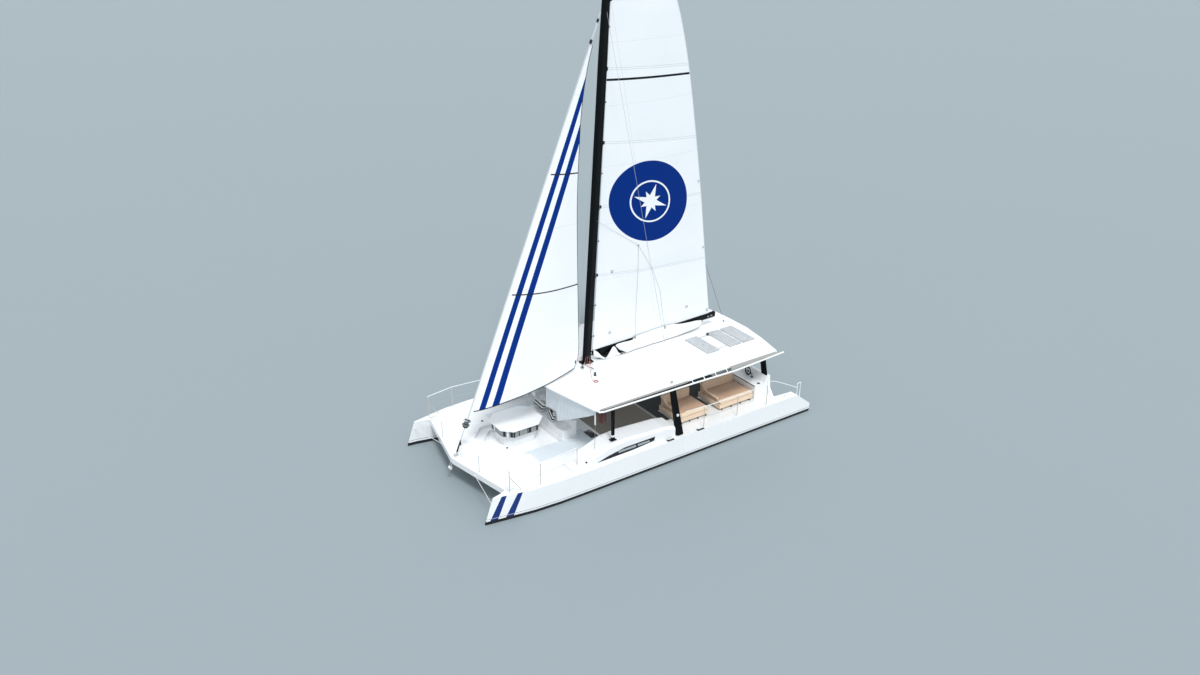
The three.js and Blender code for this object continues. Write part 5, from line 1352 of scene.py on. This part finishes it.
# One halyard's tail: from its clutch past the winch to a flat coil of two layers, its end whipped
coilSettings = {"middle": (1.87, 1.62), "radius": 0.007, "turns": 7, "across": 0.075, "pitch": 0.0145,
                "perTurn": 16, "climb": (3.6, 0.7), "leadLift": 0.0085,
                "lead": [(1.66, 0.93), (1.78, 1.15), (1.88, 1.32), (1.92, 1.48)]}
ground = roofAt(*coilSettings["middle"])
clutch = roofAt(1.42, 0.77) + Vector((0.1, 0.0, 0.04))
route = []
climbFrom, climbOver = coilSettings["climb"]
for i in range(coilSettings["turns"] * coilSettings["perTurn"] + 1):
    turn = i / coilSettings["perTurn"]
    step = turn if turn < 4 else 8 - turn
    radius = coilSettings["across"] + coilSettings["pitch"] * (step - 2)
    angle = 2 * math.pi * turn
    lift = coilSettings["radius"] * (1.05 + 1.8 * clamped((turn - climbFrom) / climbOver))
    route.append(ground + Vector((radius * math.cos(angle), radius * math.sin(angle), lift)))
lead = [clutch, clutch + Vector((0.06, 0.01, -0.012))]
lead += [roofAt(x, y, coilSettings["leadLift"]) for x, y in coilSettings["lead"]]
joined = roundedRoute(lead + [route[0] + Vector((0.004, -0.03, 0))], 5) + route
length = sum((b - a).length for a, b in zip(joined, joined[1:]))
bm = bmesh.new()
addTube(bm, joined, coilSettings["radius"], 8)
coil = finishPiece("halyard_tail", bm, "hull_and_deck", looks["redRope"])
bm = bmesh.new()
addBall(bm, route[-1], 0.012, (1, 1, 0.9))
knot = finishPiece("halyard_tail_whipping", bm, "hull_and_deck", looks["whiteRope"])
[tuple(place) for place in joined]
print("halyard tail done, metres", round(length, 2))

# Deck fittings: cleats, stanchion feet and wires, hatches, bow roller and eyes
deckSettings = {"cleats": [(-0.29, 3.75), (-1.82, 3.76), (6.81, 3.3), (-6.75, 3.62)], "deckZ": 1.0303,
                "bowFeet": [(6.9, 3.43), (5.7, 3.64), (4.0, 3.5)], "trunkZ": 1.2543,
                "sideFeet": [(-2.05, 3.7), (-3.8, 3.74), (-5.45, 3.74)], "wireZ": 1.5, "post": (7.18, 1.57, 0.74),
                "drum": (7.0, 0.78), "ring": (7.15, 0.12), "hoop": (6.9, 3.2),
                "pads": [(5.24, -1.86, 0.05), (5.26, 0.28, 0.045), (3.66, 3.62, 0.05)]}
stanchionFoot = [(0.0168, 0.0), (0.05, 0.0), (0.05, 0.008), (0.026, 0.014), (0.024, 0.05), (0.0168, 0.05)]
cleatLeg = [(0.02, 0), (0.014, 0.02), (0.014, 0.05), (0, 0.05)]
drumForm = [(0, 0), (0.09, 0), (0.09, 0.015), (0.05, 0.03), (0.045, 0.09), (0, 0.095)]
rollerForm = [(0.012, 0), (0.045, 0), (0.03, 0.055), (0.045, 0.11), (0.012, 0.11)]


def deckAt(x, y, lift=0.0):  # a place on the highest of the deck's skins, or a little above it
    label = "port" if y > 0 else "starboard"
    hits = [nodes[name].ray_cast(Vector((x, y, 1.95)), Vector((0, 0, -1)))[:2]
            for name in ("bridge_deck", "hull_" + label, "side_trunk_" + label)]
    return max((place for met, place in hits if met), key=lambda place: place.z) + Vector((0, 0, lift))


fittings, pale, wires = bmesh.new(), bmesh.new(), bmesh.new()
for s in (1, -1):
    for x, y in deckSettings["cleats"]:
        place = deckAt(x, s * y)
        for shift in (-0.045, 0.045):
            addTurned(pale, place + Vector((shift, 0, 0.001)), cleatLeg, segments=12)
        horns = [place + Vector((t, 0, 0.055 + 0.012 * (t / 0.14) ** 2))
                 for t in (-0.14, -0.09, -0.04, 0.04, 0.09, 0.14)]
        addTube(pale, horns, 0.02)
        addBox(fittings if abs(x) < 6 else pale, place + Vector((-0.17, -0.07, 0.0005)),
               place + Vector((0.17, 0.07, 0.02)), 0.006)
    for feet in (deckSettings["bowFeet"], deckSettings["sideFeet"]):
        for x, y in feet:
            z = deckSettings["trunkZ" if x == 4.0 else "deckZ"]
            addTurned(pale, Vector((x, s * y, z)), stanchionFoot, segments=16)
        ends = [Vector((x, s * y, deckSettings["wireZ"])) for x, y in feet]
        for a, b in zip(ends, ends[1:]):
            addTube(wires, saggingRoute(a, b, 0.008, 8), 0.004, 6)
finishPiece("deck_cleats", fittings, "hull_and_deck", looks["nylon"])
x, y, tall = deckSettings["post"]
for s in (1, -1):  # a lone post at the front of the bridge
    place = deckAt(x, s * y)
    addBar(wires, place + Vector((0, 0, 0.002)), place + Vector((0, 0, tall)), 0.012, segments=12, round=0.004)
    addTurned(pale, place + Vector((0, 0, 0.0005)), stanchionFoot, segments=16)
finishPiece("lifelines", wires, "hull_and_deck", looks["stainless"])
print("cleats, posts and wires done")

# Bow roller on two bars under the deck's tip
fixed = bmesh.new()
front = hitOn("bridge_deck", (9, 0.0, 0.95), (-1, 0, 0))
for y in (-0.075, 0.06):
    addBox(fixed, front + Vector((0.03, y, -0.41)), front + Vector((0.14, y + 0.015, -0.3)), 0.006)
    addBar(fixed, front + Vector((0.0, y + 0.0075, -0.02)), front + Vector((0.06, y + 0.0075, -0.31)), 0.007)
addTurned(fixed, front + Vector((0.09, -0.055, -0.36)), rollerForm, (0, 1, 0), 18)

# Rope drums, a black ring and pads on the foredeck
x, y = deckSettings["drum"]
for s in (1, -1):
    addTurned(pale, deckAt(x, s * y, 0.001), drumForm)
# Painted shade: the ring is black, standing for the shaded side of a pale ring
addRing(fixed, deckAt(*deckSettings["ring"], 0.03), (0.1, 0, 1), 0.12, 0.013, 24, 8, 4.4, 2)
for x, y, radius in deckSettings["pads"]:
    padForm = [(0, 0), (radius, 0), (radius, 0.01), (radius * 0.6, 0.03), (0, 0.034)]
    addTurned(fixed, deckAt(x, y, 0.001), padForm, segments=18, paint=2)

# A taut mooring bridle from under the bridge to each bow, and a hoop on the deck's edge
bridle = bmesh.new()
for label, s in sides:
    a = hitOn("bridge_deck", (9, s * 1.43, 0.88), (-1, 0, 0))
    b = hitOn("hull_" + label, (7.62, s * 2.2, 0.72), (0, s, 0))
    addTube(bridle, straightRoute(a, b, 16), 0.011, 8)
    for eye, way in ((a, (0, 0, 1)), (b, (1, 0, 0))):
        addRing(fixed, eye, way, 0.03, 0.009, 14, 6)
    x, y = deckSettings["hoop"]
    edge = deckAt(x, s * y)
    angles = [t * math.pi / 10 for t in range(11)]
    addTube(pale, [edge + Vector((0.0, 0.11 * math.cos(angle), 0.1 * math.sin(angle))) for angle in angles], 0.012)
finishPiece("mooring_bridle", bridle, "hull_and_deck", looks["whiteRope"])
finishPiece("bow_roller_and_deck_fittings", fixed, "hull_and_deck",
            [looks["whiteTube"], looks["rubber"], looks["nylon"]])
finishPiece("deck_pads_and_rings", pale, "hull_and_deck", looks["palePlastic"])
print("deck fittings done")

# Windows: pale panes in the dark side lights, and smoked hatches in the deck
paneSettings = {"y": 3.6746, "thick": 0.004, "each": [((1.36, 1.235), (2.2, 1.33)), ((0.7, 1.235), (1.28, 1.325))]}
hatchSettings = {"place": (2.1, 1.56), "half": (0.17, 0.31), "rim": 0.012}
panes, lids = bmesh.new(), bmesh.new()
for s in (1, -1):
    for (x0, z0), (x1, z1) in paneSettings["each"]:
        y0, y1 = ordered(s * paneSettings["y"], s * (paneSettings["y"] + paneSettings["thick"]))
        addBox(panes, (x0, y0, z0), (x1, y1, z1), 0.0018)
    x, y = hatchSettings["place"]
    place = deckAt(x, s * y)
    x, y = hatchSettings["half"]
    addBox(lids, place + Vector((-x, -y, 0.0008)), place + Vector((x, y, 0.022)), 0.009, 2, 1)
    x, y = x - hatchSettings["rim"], y - hatchSettings["rim"]
    addBox(lids, place + Vector((-x, -y, 0.0225)), place + Vector((x, y, 0.032)), 0.004, 2, 0)
finishPiece("side_window_panes", panes, "hull_and_deck", looks["brightPane"])
finishPiece("deck_hatches", lids, "hull_and_deck", [looks["hatchPane"], looks["aluminium"]])
print("windows and hatches done")

# Table: black strips let into the wicker as painted shade in its slots, and pale panels
# Of each slot or panel: its shift along the side, half width and look
tableSettings = {"middle": (4.53, -0.25), "z": (1.345, 1.625),
                 "sides": [(-0.2, 0.05, 0), (-0.52, 0.035, 0), (0.52, 0.035, 0), (-0.1, 0.02, 0), (0.3, 0.02, 0)],
                 "corners": [(-0.16, 0.05, 0), (0.0, 0.045, 1), (0.14, 0.05, 0)],
                 "bow": [(-0.3, 0.05, 0), (-0.16, 0.05, 1)]}
slotShade = bmesh.new()
middleX, middleY = tableSettings["middle"]
low, high = tableSettings["z"]
levels = (low + high) / 2
for s in (1, -1):
    for shift, half, paint in tableSettings["sides"]:
        skin = hitOn("table_base", (middleX + shift, middleY + s * 3, levels), (0, -s, 0))
        y0, y1 = ordered(skin.y + s * 0.001, skin.y + s * 0.01)
        addBox(slotShade, (skin.x - half, y0, low), (skin.x + half, y1, high), 0.003, 2, paint)
    for shift, half, paint in tableSettings["corners"]:
        way = Vector((-1, -s, 0)).normalized()
        along = Vector((-s * way.y, s * way.x, 0)) * shift
        start = Vector((middleX, middleY, levels)) - way * 2.4 + along + Vector((0.055, s * -0.055, 0))
        spot = hitOn("table_base", start, way) - way * 0.006
        reach = Vector((0.0045, half, (high - low) / 2))
        addBox(slotShade, spot - reach, spot + reach, 0.003, 2, paint, Matrix.Rotation(math.radians(45 * s), 3, "Z"))
for shift, half, paint in tableSettings["bow"]:
    skin = hitOn("table_base", (8, middleY + shift, levels), (-1, 0, 0))
    addBox(slotShade, (skin.x + 0.001, skin.y - half, low), (skin.x + 0.01, skin.y + half, high), 0.003, 2, paint)
finishPiece("table_slots_and_panels", slotShade, "hull_and_deck", [looks["nylon"], looks["palePlastic"]])
print("table slots done")

# Gutter cloth: the awning's slack end, tucked between the roof's edge and the tube beside it
gutterSettings = {"x0": -3.5, "x1": -6.0, "y": (3.492, 3.59), "roofZ": 3.315, "overTube": 0.042, "thick": 0.003,
                  "tube": [(-3.5, 3.12), (-3.8, 3.112), (-4.57, 3.15), (-5.93, 3.215), (-6.1, 3.22)],
                  "belly": 0.02, "wave": 0.012}


def gutterPlace(side):
    def place(u, v):
        x = mixed(gutterSettings["x0"], gutterSettings["x1"], u)
        tubeZ = alongKnots(gutterSettings["tube"], x) + gutterSettings["overTube"]
        z = mixed(gutterSettings["roofZ"], tubeZ, v) + gutterSettings["belly"] * math.sin(math.pi * v)
        z += gutterSettings["wave"] * math.sin(9 * x + 4 * v) * math.sin(math.pi * v)
        return Vector((x, side * mixed(*gutterSettings["y"], v), z))
    return place


for label, side in sides:
    bm, area = clothMesh(gutterPlace(side), 90, 10, gutterSettings["thick"])
    gutter = finishPiece("gutter_cloth_" + label, bm, "hull_and_deck", [looks["rollCanvas"]] * 2,
                         recalculate=False)
    clamped(area, 0.3 * 2.7 * 0.36, 2.7 * 0.36)
print("gutter cloth done")

# At the roof's front corners: a white pole with its line, a strap, and a cloth hung inside
poleSettings = {"place": (3.04, 3.31), "z": (3.2, 2.6), "radius": 0.028, "lineRadius": 0.008,
                "strap": ((3.05, 3.29, 2.98), (3.07, 2.8, 2.76)), "strapRadius": 0.014}
poles, cords = bmesh.new(), bmesh.new()
x, y = poleSettings["place"]
for label, s in sides:
    z0, z1 = poleSettings["z"]
    addBar(poles, (x, s * y, z0), (x, s * y, z1), poleSettings["radius"], round=0.006)
    end = hitOn("side_trunk_" + label, (x, s * (y - 0.04), 2.4), (0, 0, -1)) + Vector((0, 0, 0.004))
    addBar(cords, (x, s * y, z1 + 0.01), end, poleSettings["lineRadius"], segments=8)
    a, b = ((strapX, s * strapY, strapZ) for strapX, strapY, strapZ in poleSettings["strap"])
    addBar(cords, a, b, poleSettings["strapRadius"], segments=8, paint=1)
finishPiece("corner_poles", poles, "hull_and_deck", looks["whiteTube"])
finishPiece("corner_lines", cords, "hull_and_deck", [looks["dullLine"], looks["strap"]])

towelSettings = {"x": (2.85, 2.44), "y": 3.2, "lowZ": 2.5, "gap": 0.006, "wave": 0.03, "thick": 0.004}


def towelPlace(u, v):
    wave = towelSettings["wave"] * math.sin(11 * u + 1.5 * v) * (0.3 + 0.7 * v)
    y = towelSettings["y"]
    z = mixed(roofUnderside(y) - towelSettings["gap"], towelSettings["lowZ"], v)
    return Vector((mixed(*towelSettings["x"], u) + 0.02 * v, y + wave, z))


bm, area = clothMesh(towelPlace, 30, 30, towelSettings["thick"])
towel = finishPiece("hung_cloth", bm, "hull_and_deck", [looks["redCloth"]] * 2, recalculate=False)
clamped(area, 0.13, 0.41)
print("corner poles and hung cloth done")

# Posts: foot plates, a clamp on the front one and a small lamp on the middle one
postSettings = {"feet": (("post_front_", 2.27, 3.38), ("post_mid_", -0.87, 3.58)), "foot": (0.13, 0.1, 0.012),
                "clamp": ((2.19, 2.35), (3.38, 0.075), (1.86, 1.93)), "lamp": (-0.745, 0.05, 1.95, 0.05)}
plates = bmesh.new()
for label, s in sides:
    halfX, halfY, tall = postSettings["foot"]
    for name, x, y in postSettings["feet"]:
        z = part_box(name + label)[0].z
        addBox(plates, (x - halfX, s * y - halfY, z), (x + halfX, s * y + halfY, z + tall), 0.004)
    (x0, x1), (y, half), (z0, z1) = postSettings["clamp"]
    addBox(plates, (x0, s * y - half, z0), (x1, s * y + half, z1), 0.012, 2, 1)
    x, half, z, tall = postSettings["lamp"]
    skin = hitOn("post_mid_" + label, (x, s * 5, z), (0, -s, 0))
    y0, y1 = ordered(skin.y + s * 0.001, skin.y + s * 0.07)
    addBox(plates, (skin.x - half, y0, z - tall), (skin.x + half, y1, z + tall), 0.015, 3, 1)
finishPiece("post_plates_and_lamps", plates, "hull_and_deck", [looks["nylon"], looks["palePlastic"]])
print("post plates done")

# Stern: handrails, throttle lever, a black strip painted as the shadow under the bench's forward edge, and locker
# plate
sternSettings = {"rail": [(-6.14, 3.2, 1.72), (-6.3, 3.26, 1.72), (-6.55, 3.34, 1.62), (-7.0, 3.48, 1.42),
                          (-7.38, 3.6, 1.24)], "railRadius": 0.014,
                 "edge": ((-5.3395, -5.331), (1.5, 3.09), (1.655, 1.69)), "plate": (-5.62, 3.0),
                 "lever": (-5.78, 2.4), "benchZ": 1.7005}
plateForm = [(0, 0), (0.07, 0), (0.07, 0.006), (0, 0.009)]
leverForm = [(0, 0), (0.06, 0), (0.06, 0.02), (0.03, 0.04), (0, 0.04)]
stern, dark = bmesh.new(), bmesh.new()
for s in (1, -1):
    addTube(stern, roundedRoute([(x, s * y, z) for x, y, z in sternSettings["rail"]], 6), sternSettings["railRadius"])
    # Painted shadow: a thin black strip along the bench's forward edge stands for the shade gap under its top
    (x0, x1), (y0, y1), (z0, z1) = sternSettings["edge"]
    y0, y1 = ordered(s * y0, s * y1)
    addBox(dark, (x0, y0, z0), (x1, y1, z1), 0.002)
    x, y = sternSettings["plate"]
    addTurned(dark, (x, s * y, sternSettings["benchZ"]), plateForm)
x, y = sternSettings["lever"]
addTurned(dark, (x, y, sternSettings["benchZ"]), leverForm, segments=18)
addBar(dark, (x, y, 1.73), (x + 0.04, y, 1.88), 0.012)
addBall(dark, (x + 0.042, y, 1.89), 0.026)

# Helm wheel: a rubber grip, stitched at twelve places
wheelSettings = {"middle": (-5.79, 2.12, 1.9), "radius": 0.168, "grip": 0.026, "stitches": 12}
grip = bmesh.new()
x, y, z = wheelSettings["middle"]
radius = wheelSettings["radius"]
addRing(grip, (x, y, z), (1, 0, 0), radius, wheelSettings["grip"], 40, 12)
for k in range(wheelSettings["stitches"]):
    angle = math.pi * k / 6
    addRing(grip, (x, y + radius * math.cos(angle), z + radius * math.sin(angle)),
            (0, -math.sin(angle), math.cos(angle)), 0.0262, 0.0016, 14, 4)
finishPiece("helm_wheel_grip", grip, "helm_wheel", looks["rubber"])
finishPiece("stern_handrails", stern, "hull_and_deck", looks["whiteTube"])
finishPiece("bench_edges_and_lever", dark, "hull_and_deck", looks["nylon"])
print("stern and helm done")
